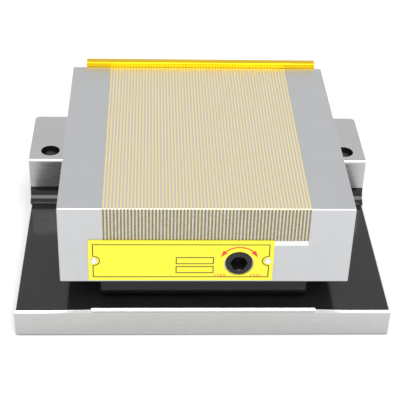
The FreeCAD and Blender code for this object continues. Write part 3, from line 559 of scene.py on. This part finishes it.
class Finish(Enum):
    """The finishes of the part."""

    COAT = Coat("gloss_black_coat", (0.011, 0.011, 0.0115), 0.12)
    # The outer faces carry painted contact shade, darker towards the floor.
    OUTER = Ground("ground_outer_faces", (0.50, 0.495, 0.49), 0.27, 0.02, 0.02, painted_contact_shade=0.14)
    # The bevels are a lighter copy of the outer steel: a painted highlight.
    BEVEL = Ground("painted_highlight_bevels", (0.88, 0.88, 0.88), 0.22, 0.02, 0.01)
    BODY = Ground("ground_body", (0.52, 0.525, 0.535), 0.5, matt_top=True)
    OXIDE = BlackOxide("black_oxide")
    # The roller's near-black colour is black oxide and painted shade of the gap under the chuck.
    GLOSS_OXIDE_AND_SHADE = BlackOxide("polished_black_oxide_and_painted_shade", (0.008, 0.008, 0.009), 0.16)
    BRONZE = Ground("bearing_bronze", (0.60, 0.40, 0.17), 0.35)
    MACHINED = Ground("machined_steel", (0.42, 0.42, 0.43), 0.35)
    SHAFT = Ground("ground_shaft", (0.58, 0.58, 0.59), 0.22)
    SHEET = Ground("sheet_brass", (0.74, 0.58, 0.27), 0.35)
    PLATED = Ground("plated_steel", (0.60, 0.60, 0.61), 0.3)
    FRAME = Ground("bright_frame", (0.97, 0.97, 0.96), 0.35, 0.02, 0.02)
    RIVET = Ground("rivet_alloy", (0.95, 0.95, 0.95), 0.25, 0.02, 0.02)
    SPRING = Ground("spring_steel", (0.2, 0.2, 0.2), 0.4)
    GOLD = Ground("gold_anodised", (1.0, 0.50, 0.010), 0.3, 0.04, 0.02)
    ENAMEL = Coat("label_enamel", (0.76, 0.67, 0.035), 0.32, 0.000001, 0.02, 0.3)
    BLACK_INK = Matt("black_ink", (0.03, 0.035, 0.01))
    RED_INK = Matt("red_ink", (0.62, 0.035, 0.02))
    FERRITE = Matt("ferrite", (0.03, 0.03, 0.032), 0.7, 0.00002)
    RUBBER = Matt("seal_rubber", (0.01, 0.01, 0.01), 0.6, 0.00002)


MADE: dict[Finish, bpy.types.Material] = {}


def wear(piece: bpy.types.Object, *finishes: Finish) -> None:
    """Give a piece its finishes, in slot order."""
    piece.data.materials.clear()
    for finish in finishes:
        if finish not in MADE:
            MADE[finish] = finish.value.make()
        piece.data.materials.append(MADE[finish])


def paint(piece: bpy.types.Object, number: int, test: Test) -> None:
    """Give the faces that pass a test a material slot.

    Args:
        piece: the piece.
        number: slot number.
        test: says of a face's centre and normal whether it takes the slot.
    """
    for face in piece.data.polygons:
        if test(Vector(face.center), Vector(face.normal)):
            face.material_index = number


def enter(piece: bpy.types.Object, body: str, slot: str, *nodes: str) -> bpy.types.Object:
    """Put a finished piece on its CAD body.

    Args:
        piece: the piece.
        body: CAD body that it rides on.
        slot: material slot of the record; not used.
        nodes: CAD nodes that it stands for.

    Returns:
        The piece.
    """
    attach(piece, body)
    if nodes:
        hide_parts(*nodes)
    log.info("%s rides on %s, %d faces", piece.name, body, len(piece.data.polygons))
    return piece


def discard(*pieces: bpy.types.Object) -> None:
    """Remove pieces that were only copied from."""
    for piece in pieces:
        bpy.data.objects.remove(piece, do_unlink=True)


# ---- sub-assemblies


@dataclass
class BasePlate:
    """Flat base with a raised land in front and a hinge ear at each side."""

    plate_thick: float = 0.0165
    land_wide: float = 0.1185
    land_deep: float = 0.070
    land_rise: float = 0.0015
    ear_wide: float = 0.024
    ear_deep: float = 0.050
    ear_foot: float = 0.007
    ear_edge: float = 0.002
    coat_rise: float = 0.0083
    rear_corner: float = 0.003
    front_corner: float = 0.0006
    rim: float = 0.001
    foot: float = 0.0008
    screw_back: float = 0.010
    head_bore: float = 0.0055
    head_deep: float = 0.0092
    shaft_high: float = 0.0281
    shaft_bore: float = 0.00603
    soft_edge: float = 0.00012

    def build(self) -> None:
        """Model, bore and dress the base."""
        self.low, self.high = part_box("base_plate")
        self.top = self.low.z + self.plate_thick
        self.land = self.top + self.land_rise
        self.ear_in = self.high.x - self.ear_wide
        self.ear_face = self.high.y - self.ear_deep
        self.piece = block("base_casting", self.low, (self.high.x, self.high.y, self.top))
        self.shape()
        self.edge()
        self.bore()
        self.dress()

    def shape(self) -> None:
        """Raise the land and the ears from the plate."""
        land_back = self.low.y + self.land_deep
        half = self.land_wide / 2
        with Bench(self.piece) as bench:
            for x in (-self.ear_in, -half, half, self.ear_in):
                bench.faces(lambda c, n: n.z > FLAT)
                bench.slice((x, 0, 0), (1, 0, 0))
            for y in (land_back, self.ear_face):
                bench.faces(lambda c, n: n.z > FLAT)
                bench.slice((0, y, 0), (0, 1, 0))
            bench.faces(lambda c, n: n.z > FLAT and abs(c.x) < half and c.y < land_back)
            bench.extrude((0, 0, self.land_rise))
            bench.faces(lambda c, n: n.z > FLAT and abs(c.x) > self.ear_in and c.y > self.ear_face)
            bench.extrude((0, 0, self.high.z - self.top))
            bench.tidy()

    def edge(self) -> None:
        """Round the ears' feet and corners and bevel the rims."""
        low, high, top, land = self.low, self.high, self.top, self.land
        start = self.ear_face - self.ear_foot
        with Bench(self.piece) as bench:
            bench.edges(lambda c, d: abs(d.x) > FLAT and abs(c.x) > self.ear_in
                        and abs(c.y - self.ear_face) < HAIR and abs(c.z - top) < HAIR)
            bench.bevel(self.ear_foot, 10)
            bench.edges(lambda c, d: abs(d.x) > FLAT and abs(c.y - self.ear_face) < HAIR
                        and abs(c.z - high.z) < HAIR)
            bench.bevel(self.ear_edge, 5)
            bench.edges(lambda c, d: abs(d.z) > FLAT and abs(abs(c.x) - high.x) < HAIR
                        and abs(c.y - high.y) < HAIR)
            bench.bevel(self.rear_corner, 6)
            bench.edges(lambda c, d: abs(d.z) < ACROSS and (abs(c.z - top) < HAIR or abs(c.z - land) < HAIR)
                        and (abs(c.y - low.y) < HAIR or abs(abs(c.x) - high.x) < HAIR and c.y < start))
            bench.bevel(self.rim)
            bench.edges(lambda c, d: abs(c.z - low.z) < HAIR
                        and (abs(abs(c.x) - high.x) < self.rear_corner
                             or abs(abs(c.y) - high.y) < self.rear_corner))
            bench.bevel(self.foot)
            bench.edges(lambda c, d: abs(d.z) > FLAT and abs(abs(c.x) - high.x) < HAIR
                        and abs(c.y - low.y) < HAIR)
            bench.bevel(self.front_corner, 2)
            bench.faces(lambda c, n: n.y < -FLAT and abs(c.x) > self.ear_in and c.z > top + self.ear_foot)
            bench.slice((0, 0, top + self.coat_rise), (0, 0, 1))
            bench.tidy()

    def bore(self) -> None:
        """Bore both ears for the screws and the hinge shaft."""
        y = self.ear_face + self.screw_back
        for side in (-1, 1):
            x = side * (self.high.x - self.ear_wide / 2)
            inner = side * (self.ear_in - self.foot)
            outer = side * (self.high.x + self.foot)
            floor, top = self.high.z - self.head_deep, self.high.z + self.foot
            height = self.shaft_high
            cut_away(self.piece, rod("head_bore", self.head_bore, (x, y, floor), (x, y, top)),
                     rod("pin_bore", self.shaft_bore, (inner, y, height), (outer, y, height)))

    def dress(self) -> None:
        """Coat the upper faces, leave the outer faces bright with painted contact shade near the floor, give
        the bevels a painted highlight, and coat the foot chamfer and the counterbores black as painted shade.
        """
        high, top, land = self.high, self.top, self.land
        coat_top = top + self.coat_rise
        wear(self.piece, Finish.COAT, Finish.OUTER, Finish.BEVEL)
        near_rim = self.rim * 0.9
        paint(self.piece, 1, lambda c, n: c.z < top - near_rim or c.z > coat_top
              or abs(n.x) > FLAT and abs(c.x) > high.x - near_rim
              or abs(n.y) > FLAT and abs(c.y) > high.y - near_rim)
        # Painted highlight: the ear and rim bevels take the lighter bevel finish.
        paint(self.piece, 2, lambda c, n: 0.5 < n.z < FLAT and (
            c.z > high.z - self.ear_edge and n.z < 0.8 or c.z < land and (
                c.y < self.low.y + self.rim or abs(c.x) > high.x - self.rim)))
        # Painted contact shadow: the downward foot chamfer takes the black coat.
        paint(self.piece, 0, lambda c, n: -FLAT < n.z < -ACROSS and c.z < self.foot)
        # Painted shade: the counterbore walls and floors take the black coat.
        middle = high.x - self.ear_wide / 2
        back = self.ear_face + self.screw_back
        reach = self.head_bore * 1.01
        paint(self.piece, 0, lambda c, n: coat_top < c.z < high.z - HAIR and
              (c.xy - Vector((math.copysign(middle, c.x), back))).length < reach)
        ease_edges(self.piece, self.soft_edge)
        enter(self.piece, "base", "base_black", "base_plate")


@dataclass
class HingeShaft:
    """Fixed shaft through both ears."""

    edge: float = 0.0008

    def build(self) -> None:
        """Model the shaft with its bevelled ends."""
        low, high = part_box("hinge_shaft")
        y, z = (low.y + high.y) / 2, (low.z + high.z) / 2
        piece = rod("hinge_pin", (high.z - low.z) / 2, (low.x, y, z), (high.x, y, z))
        with Bench(piece) as bench:
            bench.edges(lambda c, d: abs(abs(c.x) - high.x) < HAIR)
            bench.bevel(self.edge)
        wear(piece, Finish.SHAFT)
        smooth(piece)
        enter(piece, "base", "ground_shaft", "hinge_shaft")


@dataclass
class SineRoller:
    """Near-black roller under the front of the chuck: black oxide and painted shade of the gap under the
    chuck.
    """

    edge: float = 0.001
    screw_in: float = 0.013
    head_bore: float = 0.0045
    head_deep: float = 0.0055

    def build(self) -> None:
        """Model the roller with its bevelled ends and screw bores."""
        low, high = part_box("sine_roller")
        y, z = (low.y + high.y) / 2, (low.z + high.z) / 2
        piece = rod("front_roller", (high.z - low.z) / 2, (low.x, y, z), (high.x, y, z), 96)
        with Bench(piece) as bench:
            bench.edges(lambda c, d: abs(abs(c.x) - high.x) < HAIR)
            bench.bevel(self.edge)
        for x in (low.x + self.screw_in, high.x - self.screw_in):
            cut_away(piece, rod("screw_bore", self.head_bore, (x, y, low.z - self.edge),
                                (x, y, low.z + self.head_deep)))
        wear(piece, Finish.GLOSS_OXIDE_AND_SHADE)
        smooth(piece)
        enter(piece, "chuck", "roller_steel", "sine_roller")


@dataclass
class CapScrew:
    """Knurled socket-head cap screw, made upright with its head's seat at the origin."""

    dia: float
    head_dia: float
    length: float
    flats: float
    ridges: int = 36
    knurl: float = 0.00012
    rim_share: float = 0.12
    socket_floor: float = 0.45
    socket_reach: float = 1.2

    def build(self, name: str) -> bpy.types.Object:
        """Model one screw.

        Args:
            name: name of the object.

        Returns:
            The screw, to be copied.
        """
        radius, high = self.head_dia / 2, self.dia
        piece = rod(name, radius, (0, 0, 0), (0, 0, high), 2 * self.ridges)
        step = math.pi / self.ridges
        with Bench(piece) as bench:
            bench.faces(lambda c, n: abs(n.z) < ACROSS and int(math.atan2(c.y, c.x) // step) % 2 == 0)
            bench.inset(self.knurl / 4, -self.knurl, each=True)
            bench.edges(lambda c, d: c.z > high - HAIR and abs(d.z) < ACROSS)
            bench.bevel(radius * self.rim_share, 2, clamp=True)
            bench.faces(lambda c, n: n.z < -FLAT and c.z < HAIR)
            bench.inset(radius - self.dia / 2)
            bench.extrude((0, 0, -self.length))
            bench.tidy()
        corner = self.flats / 2 / math.cos(math.pi / 6)
        floor, reach = high * self.socket_floor, high * self.socket_reach
        cut_away(piece, rod("socket", corner, (0, 0, floor), (0, 0, reach), 6))
        smooth(piece)
        return piece


@dataclass
class EarScrews:
    """Cap screws that pin the hinge shaft in the ears."""

    dia: float = 0.006
    head_dia: float = 0.010
    length: float = 0.025
    flats: float = 0.005

    def build(self) -> None:
        """Model one screw and copy it into both ears."""
        low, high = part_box("ear_screws")
        master = CapScrew(self.dia, self.head_dia, self.length, self.flats).build("ear_screw")
        x = high.x - self.head_dia / 2
        for side, name in ((-1, "ear_screw_left"), (1, "ear_screw_right")):
            place = Vector((side * x, (low.y + high.y) / 2, high.z - self.dia))
            made = copy_of(master, name, Quaternion(), place)
            wear(made, Finish.OXIDE)
            enter(made, "base", "black_oxide_ear", *(["ear_screws"] if side < 0 else []))
        discard(master)


@dataclass
class RailFixings:
    """Cap screws and washers that hold the stop rail."""

    dia: float = 0.005
    head_dia: float = 0.0085
    flats: float = 0.004
    washer_bore: float = 0.0052
    washer_edge: float = 0.12

    def build(self) -> None:
        """Model one screw and one washer and copy both."""
        low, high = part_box("rail_screws")
        washer_low, washer_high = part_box("rail_washers")
        height = (low.z + high.z) / 2
        screw = CapScrew(self.dia, self.head_dia, washer_high.y - low.y, self.flats).build("rail_screw")
        thick = washer_high.y - washer_low.y
        washer = rod("rail_washer", (washer_high.z - washer_low.z) / 2, (0, 0, -thick), (0, 0, 0))
        cut_away(washer, rod("washer_bore", self.washer_bore / 2, (0, 0, -2 * thick), (0, 0, thick)))
        ease_edges(washer, thick * self.washer_edge)
        back = Quaternion((1, 0, 0), math.radians(-90))
        for x, side in ((low.x + self.head_dia / 2, "left"), (high.x - self.head_dia / 2, "right")):
            place = Vector((x, washer_high.y, height))
            for master, finish, slot, node in ((screw, Finish.OXIDE, "black_oxide_rail", "rail_screws"),
                                               (washer, Finish.PLATED, "washer_steel", "rail_washers")):
                made = copy_of(master, "%s_%s" % (master.name, side), back, place)
                wear(made, finish)
                enter(made, "chuck", slot, *([node] if side == "left" else []))
        discard(screw, washer)


@dataclass
class StopRail:
    """Gold rail with rounded upper edges and two upright slots."""

    rounding: float = 0.0012
    slot_in: float = 0.008
    slot_half: float = 0.0027
    slot_up: float = 0.0042
    slot_down: float = 0.002
    soft_edge: float = 0.0002

    def build(self) -> None:
        """Model the rail."""
        low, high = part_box("stop_rail")
        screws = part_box("rail_screws")
        middle = (screws[0].z + screws[1].z) / 2
        piece = block("gold_rail", low, high)
        with Bench(piece) as bench:
            bench.edges(lambda c, d: abs(d.x) > FLAT and c.z > high.z - HAIR)
            bench.bevel(self.rounding, 6)
        front, back = low.y - self.rounding, high.y + self.rounding
        for x in (low.x + self.slot_in, high.x - self.slot_in):
            ends = (middle - self.slot_down, middle + self.slot_up)
            cut_away(piece, block("slot", (x - self.slot_half, front, ends[0]),
                                  (x + self.slot_half, back, ends[1])),
                     *(rod("slot_end", self.slot_half, (x, front, z), (x, back, z)) for z in ends))
        wear(piece, Finish.GOLD)
        ease_edges(piece, self.soft_edge)
        enter(piece, "rail", "rail_gold", "stop_rail")


@dataclass
class PoleStrips:
    """Brass and steel strips that make up the working face."""

    thick: float = 0.00088
    count: int = 60
    bevel: float = 0.0004
    edge: float = 0.00003
    sink: float = 0.00012

    def build(self) -> None:
        """Model one strip of each metal and repeat it over the face."""
        low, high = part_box("brass_strips")
        steel = StripMetal("strip_steel", (0.60, 0.605, 0.60), (0.60, 0.60, 0.575), 0.45,
                           low.y, high.y).make()
        # The brass ends' dark ochre is tarnish and painted shade of their recess.
        brass = StripMetal("strip_brass", (0.98, 0.80, 0.40), (0.32, 0.24, 0.09), 0.42,
                           low.y, high.y).make()
        self.lay("brass", low.x, self.count, self.sink, brass)
        self.lay("steel", low.x + self.thick, self.count - 1, 0.0, steel)

    def lay(self, metal: str, first: float, count: int, sink: float, material: bpy.types.Material) -> None:
        """Model one strip and repeat it.

        Args:
            metal: brass or steel.
            first: left side of the first strip.
            count: number of strips.
            sink: how far the ends lie behind the body's faces.
            material: finish.
        """
        low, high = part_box("brass_strips")
        piece = block(metal + "_pole_strips", (first, low.y + sink, low.z),
                      (first + self.thick, high.y - sink, high.z))
        with Bench(piece) as bench:
            bench.edges(lambda c, d: abs(d.x) > FLAT and c.z > high.z - HAIR)
            bench.bevel(self.bevel - sink)
            bench.edges(lambda c, d: abs(d.x) < ACROSS
                        and (c.z > high.z - self.bevel - HAIR or abs(d.z) > FLAT)
                        and (abs(c.x - first) < HAIR or abs(c.x - first - self.thick) < HAIR))
            bench.bevel(self.edge)
            bench.tidy()
        take(piece)
        step = piece.modifiers.new("row", "ARRAY")
        step.count = count
        step.use_relative_offset = False
        step.use_constant_offset = True
        step.constant_offset_displace = (2 * self.thick, 0, 0)
        bpy.ops.object.modifier_apply(modifier=step.name)
        piece.data.materials.append(material)
        enter(piece, "chuck", "strip_" + metal, metal + "_strips")


@dataclass
class SwitchShaft:
    """Socketed head, journal and eccentric pin of the switch."""

    head_length: float = 0.012
    stem_dia: float = 0.010
    pin_dia: float = 0.006
    pin_length: float = 0.006
    throw: float = 0.00176
    flats: float = 0.008
    depth: float = 0.0073
    rim: float = 0.0005
    sink: float = 0.0008
    sink_dia: float = 0.0103
    sink_taper: float = 0.7
    soft_edge: float = 0.0001
    soft_angle: float = 35

    def build(self) -> None:
        """Model the shaft, with its socket's corners level."""
        low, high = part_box("cam_shaft")
        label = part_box("label_plate")
        radius = (high.x - low.x) / 2
        x, z = low.x + radius, low.z + radius
        face = low.y
        shoulder = label[1].y + self.head_length
        pin_face = high.y - self.pin_length
        piece = rod("switch_shaft", radius, (x, face, z), (x, shoulder, z), 96)
        with Bench(piece) as bench:
            bench.edges(lambda c, d: c.y < face + HAIR)
            bench.bevel(self.rim, 2)
        combine(piece, rod("stem", self.stem_dia / 2, (x, shoulder - self.rim, z), (x, pin_face, z)), "UNION")
        combine(piece, rod("pin", self.pin_dia / 2, (x - self.throw, pin_face - self.rim, z),
                           (x - self.throw, high.y, z)), "UNION")
        lead = rod("lead", self.sink_dia / 2, (x, face - self.sink, z), (x, face + self.sink, z))
        with Bench(lead) as bench:
            bench.faces(lambda c, n: n.y > FLAT)
            bpy.ops.transform.resize(value=(self.sink_taper,) * 3, center_override=(x, face + self.sink, z))
        corner = self.flats / 2 / math.cos(math.pi / 6)
        socket = rod("socket", corner, (x, face - self.sink, z), (x, face + self.depth, z), 6, 30)
        cut_away(piece, lead, socket)
        wear(piece, Finish.OXIDE)
        ease_edges(piece, self.soft_edge, 2, self.soft_angle)
        enter(piece, "cam", "cam_black", "cam_shaft")


def sweep_arc(centre: Vector, radius: float, line: float, ink: float,
              start: float, end: float) -> bpy.types.Object:
    """A thin printed arc on an upright face, swept from one short stroke.

    Args:
        centre: centre of the arc, on the face.
        radius: radius of the middle of the line.
        line: width of the line.
        ink: thickness of the line.
        start: first angle, in degrees from +X towards +Z.
        end: last angle.

    Returns:
        The arc.
    """
    steps = 40
    step = math.radians(end - start) / steps
    half = radius * step / 2
    master = block("stroke", (radius - line / 2, -ink, -half), (radius + line / 2, 0, half))
    with Bench(master) as bench:
        bench.faces(lambda c, n: n.z > FLAT)
        bench.spin((0, 0, 0), -UPRIGHT, step * (steps - 1), steps - 1)
        bench.tidy()
    turn = Quaternion(UPRIGHT, math.radians(start) + step / 2)
    piece = copy_of(master, "arc", turn, centre)
    discard(master)
    return piece


def arrow_head(tip: Vector, foot: Vector, wide: float, ink: float) -> bpy.types.Object:
    """A thin printed arrow head on an upright face.

    Args:
        tip: point of the head, on the face.
        foot: middle of its base.
        wide: width of its base.
        ink: thickness of the print.

    Returns:
        The head.
    """
    way = tip - foot
    master = block("head", (-wide / 2, -ink, 0), (wide / 2, 0, way.length))
    with Bench(master) as bench:
        bench.faces(lambda c, n: n.z > FLAT)
        bpy.ops.transform.resize(value=(0, 1, 1), center_override=(0, 0, way.length))
        bench.tidy()
    turn = Quaternion(UPRIGHT, math.atan2(way.z, way.x) - math.pi / 2)
    piece = copy_of(master, "arrow_head", turn, foot)
    discard(master)
    return piece


@dataclass
class DataPlate:
    """Yellow plate on the front face, with rivets, printed lines, an arrow and the switch words."""

    corner: float = 0.0006
    soft_edge: float = 0.0001
    bore: float = 0.0076
    ink: float = 0.00003
    line: float = 0.00052
    margin: float = 0.0021
    notch: float = 0.0029
    rivet_in: float = 0.0028
    rivet_deep: float = 0.0005
    dome_share: float = 0.95
    shank_share: float = 0.55
    field_wide: float = 0.0196
    field_high: float = 0.0045
    field_left: float = 0.0447
    field_tops: tuple[float, float] = (0.0102, 0.0160)
    arrow_radius: float = 0.0105
    arrow_line: float = 0.0007
    arrow_start: float = 24.0
    head_length: float = 0.0042
    head_wide: float = 0.0014
    word_size: float = 0.0033
    word_drop: float = 0.0232
    letter_thin: float = -0.004
    letter_space: float = 1.15
    words: tuple[tuple[str, float], ...] = (("OFF", 0.0677), ("ON", 0.0860))

    def build(self) -> None:
        """Model the plate and its rivets, and lay its print on it."""
        self.low, self.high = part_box("label_plate")
        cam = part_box("cam_shaft")
        self.middle = (self.low.z + self.high.z) / 2
        self.socket = Vector(((cam[0].x + cam[1].x) / 2, self.low.y, (cam[0].z + cam[1].z) / 2))
        plate = block("data_plate", self.low, self.high)
        with Bench(plate) as bench:
            bench.edges(lambda c, d: abs(d.y) > FLAT)
            bench.bevel(self.corner, 4)
        cut_away(plate, self.through(self.socket, self.bore))
        wear(plate, Finish.ENAMEL)
        ease_edges(plate, self.soft_edge)
        enter(plate, "chuck", "label_yellow", "label_plate")
        self.rivets()
        self.border()
        self.fields()
        self.arrow()
        self.lettering()

    def through(self, centre: Vector, radius: float) -> bpy.types.Object:
        """A rod through the plate, to cut with."""
        reach = Vector((0, self.high.y - self.low.y + self.rivet_deep, 0))
        return rod("through", radius, centre - reach, centre + reach)

    def rivet_places(self) -> tuple[tuple[int, Vector], ...]:
        """Side and centre of each rivet."""
        left = Vector((self.low.x + self.rivet_in, self.low.y, self.middle))
        right = Vector((self.high.x - self.rivet_in, self.low.y, self.middle))
        return (1, left), (-1, right)

    def rivets(self) -> None:
        """Round-head rivets at both ends."""
        low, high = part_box("label_rivets")
        radius = (high.z - low.z) / 2
        dome = self.low.y - low.y
        master = rod("label_rivet", radius, (0, 0, 0), (0, 0, dome), 40)
        with Bench(master) as bench:
            bench.edges(lambda c, d: c.z > dome - HAIR)
            bench.bevel(dome * self.dome_share, 6)
            bench.tidy()
        shank = rod("shank", radius * self.shank_share, (0, 0, self.low.y - high.y), (0, 0, dome / 2))
        combine(master, shank, "UNION")
        smooth(master, 50)
        front = Quaternion((1, 0, 0), math.radians(90))
        for side, place in self.rivet_places():
            made = copy_of(master, "label_rivet_%s" % ("left" if side > 0 else "right"), front, place)
            wear(made, Finish.RIVET)
            enter(made, "chuck", "rivet_bright", *(["label_rivets"] if side > 0 else []))
        discard(master)

    def outline(self, left: float, right: float, bottom: float, top: float) -> bpy.types.Object:
        """A thin printed rectangle line on the plate's face."""
        y = self.low.y
        piece = block("outline", (left, y - self.ink, bottom), (right, y, top))
        cut_away(piece, block("inside", (left + self.line, y - 2 * self.ink, bottom + self.line),
                              (right - self.line, y + self.ink, top - self.line)))
        return piece

    def border(self) -> None:
        """Border line, notched round the rivets."""
        border = self.outline(self.low.x + self.margin, self.high.x - self.margin,
                              self.low.z + self.margin, self.high.z - self.margin)
        parts = [border]
        for side, place in self.rivet_places():
            cut_away(border, self.through(place, self.notch))
            lean = math.degrees(math.asin((self.rivet_in - self.margin - self.line / 2) / self.notch))
            reach = 90 + lean
            middle = 0 if side > 0 else 180
            parts.append(sweep_arc(place, self.notch, self.line, self.ink, middle - reach, middle + reach))
        made = join("plate_border", parts)
        wear(made, Finish.BLACK_INK)
        enter(made, "chuck", "label_yellow")

    def fields(self) -> None:
        """Two empty boxes for written entries."""
        left = self.low.x + self.field_left
        boxes = [self.outline(left, left + self.field_wide, self.high.z - drop - self.field_high,
                              self.high.z - drop) for drop in self.field_tops]
        made = join("plate_fields", boxes)
        wear(made, Finish.BLACK_INK)
        enter(made, "chuck", "label_yellow")

    def arrow(self) -> None:
        """Double-headed arrow over the socket."""
        share = math.degrees(self.head_length / self.arrow_radius)
        first, foot = self.arrow_start, self.arrow_start + share
        parts = [sweep_arc(self.socket, self.arrow_radius, self.arrow_line, self.ink, foot - 2, 182 - foot)]
        for tip_at, foot_at in ((first, foot), (180 - first, 180 - foot)):
            tip, base = (self.socket + self.arrow_radius * Vector((math.cos(a), 0, math.sin(a)))
                         for a in (math.radians(tip_at), math.radians(foot_at)))
            parts.append(arrow_head(tip, base, 2 * self.head_wide, self.ink))
        made = join("switch_arrow", parts)
        wear(made, Finish.RED_INK)
        enter(made, "chuck", "label_yellow")

    def lettering(self) -> None:
        """The two switch positions, in thin letters."""
        for word, left in self.words:
            clear_selection()
            bpy.ops.object.text_add()
            text = bpy.context.object
            text.data.body = word
            text.data.align_x = "CENTER"
            text.data.extrude = self.ink / self.word_size
            text.data.offset = self.letter_thin
            text.data.space_character = self.letter_space
            text.data.resolution_u = 4
            text.rotation_euler = (math.pi / 2, 0, 0)
            text.scale = (self.word_size,) * 3
            text.location = (self.low.x + left, self.low.y, self.high.z - self.word_drop)
            bpy.ops.object.convert(target="MESH")
            made = settle(bpy.context.object)
            with Bench(made) as bench:
                bench.tidy()
            made.name = "switch_" + word.lower()
            wear(made, Finish.RED_INK)
            enter(made, "chuck", "label_yellow")


PLAIN_NODES = {
    "thrust_washers": Finish.BRONZE, "chuck_body": Finish.BODY, "hinge_barrel": Finish.MACHINED,
    "hinge_bushes": Finish.BRONZE, "barrel_screws": Finish.OXIDE, "roller_screws": Finish.OXIDE,
    "seat_frame": Finish.FRAME, "wear_shim": Finish.SHEET, "slide_keys": Finish.SHEET,
    "magnet_carrier": Finish.MACHINED, "flux_plates": Finish.PLATED, "magnets": Finish.FERRITE,
    "shaft_bush": Finish.BRONZE, "shaft_clip": Finish.SPRING, "shaft_seal": Finish.RUBBER,
    "stop_pin": Finish.SHAFT,
}


@dataclass
class Studio:
    """Pale floor, soft light and the camera's stand."""

    aim: Vector = Vector((-0.0014, -0.0302, 0.0553))
    distance: float = 0.6203
    azimuth: float = 3.016
    elevation: float = 34.385
    roll: float = 1.89
    lens: float = 102.54
    sky: float = 0.95
    key_place: Vector = Vector((0.1, -0.9, 1.25))
    key_size: float = 0.9
    key_power: float = 16.0
    floor_size: float = 12.0
    floor_drop: float = 0.0002

    def build(self) -> None:
        """Set up the floor, the lights and the camera."""
        bpy.context.scene.view_settings.view_transform = "Standard"
        self.floor()
        self.lights()
        self.camera()

    def floor(self) -> None:
        """Large matt white floor."""
        clear_selection()
        bpy.ops.mesh.primitive_plane_add(size=self.floor_size, location=(0, 0, -self.floor_drop))
        floor = bpy.context.object
        floor.name = "floor"
        recipe = Recipe("floor_white")
        recipe.shader({"Base Color": recipe.mix(recipe.noise(0.7), (0.88, 0.88, 0.88), (0.9, 0.9, 0.9)),
                       "Roughness": 0.9})
        floor.data.materials.append(recipe.material)

    def lights(self) -> None:
        """White surroundings and one large soft box over the front."""
        world = bpy.data.worlds.new("surroundings")
        world.use_nodes = True
        sky = world.node_tree.nodes["Background"]
        sky.inputs["Color"].default_value = (0.98, 0.99, 1.0, 1.0)
        sky.inputs["Strength"].default_value = self.sky
        bpy.context.scene.world = world
        clear_selection()
        bpy.ops.object.light_add(type="AREA", location=self.key_place)
        light = bpy.context.object
        light.name = "key_box"
        light.data.shape = "SQUARE"
        light.data.size = self.key_size
        light.data.energy = self.key_power
        light.rotation_mode = "QUATERNION"
        light.rotation_quaternion = (self.aim - self.key_place).to_track_quat("-Z", "Y")

    def camera(self) -> None:
        """Camera on its stand, turned a little about its own axis."""
        clear_selection()
        turn, rise = math.radians(self.azimuth), math.radians(self.elevation)
        ahead = Vector((math.sin(turn) * math.cos(rise), math.cos(turn) * math.cos(rise), -math.sin(rise)))
        bpy.ops.object.camera_add(location=self.aim - ahead * self.distance)
        camera = bpy.context.object
        camera.rotation_mode = "QUATERNION"
        camera.rotation_quaternion = (ahead.to_track_quat("-Z", "Y")
                                      @ Quaternion((0, 0, 1), math.radians(self.roll)))
        camera.data.lens = self.lens
        camera.data.clip_start = 0.01
        bpy.context.scene.camera = camera


def main() -> None:
    """Build every piece, then the studio."""
    logging.basicConfig(level=logging.INFO, format="%(message)s")
    for sub_assembly in (BasePlate(), HingeShaft(), EarScrews(), SineRoller(), PoleStrips(), SwitchShaft(),
                         DataPlate(), StopRail(), RailFixings()):
        sub_assembly.build()
    for node, finish in PLAIN_NODES.items():
        wear(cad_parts[node], finish)
        log.info("%s keeps its CAD shape", node)
    Studio().build()


if __name__ == "__main__":
    main()
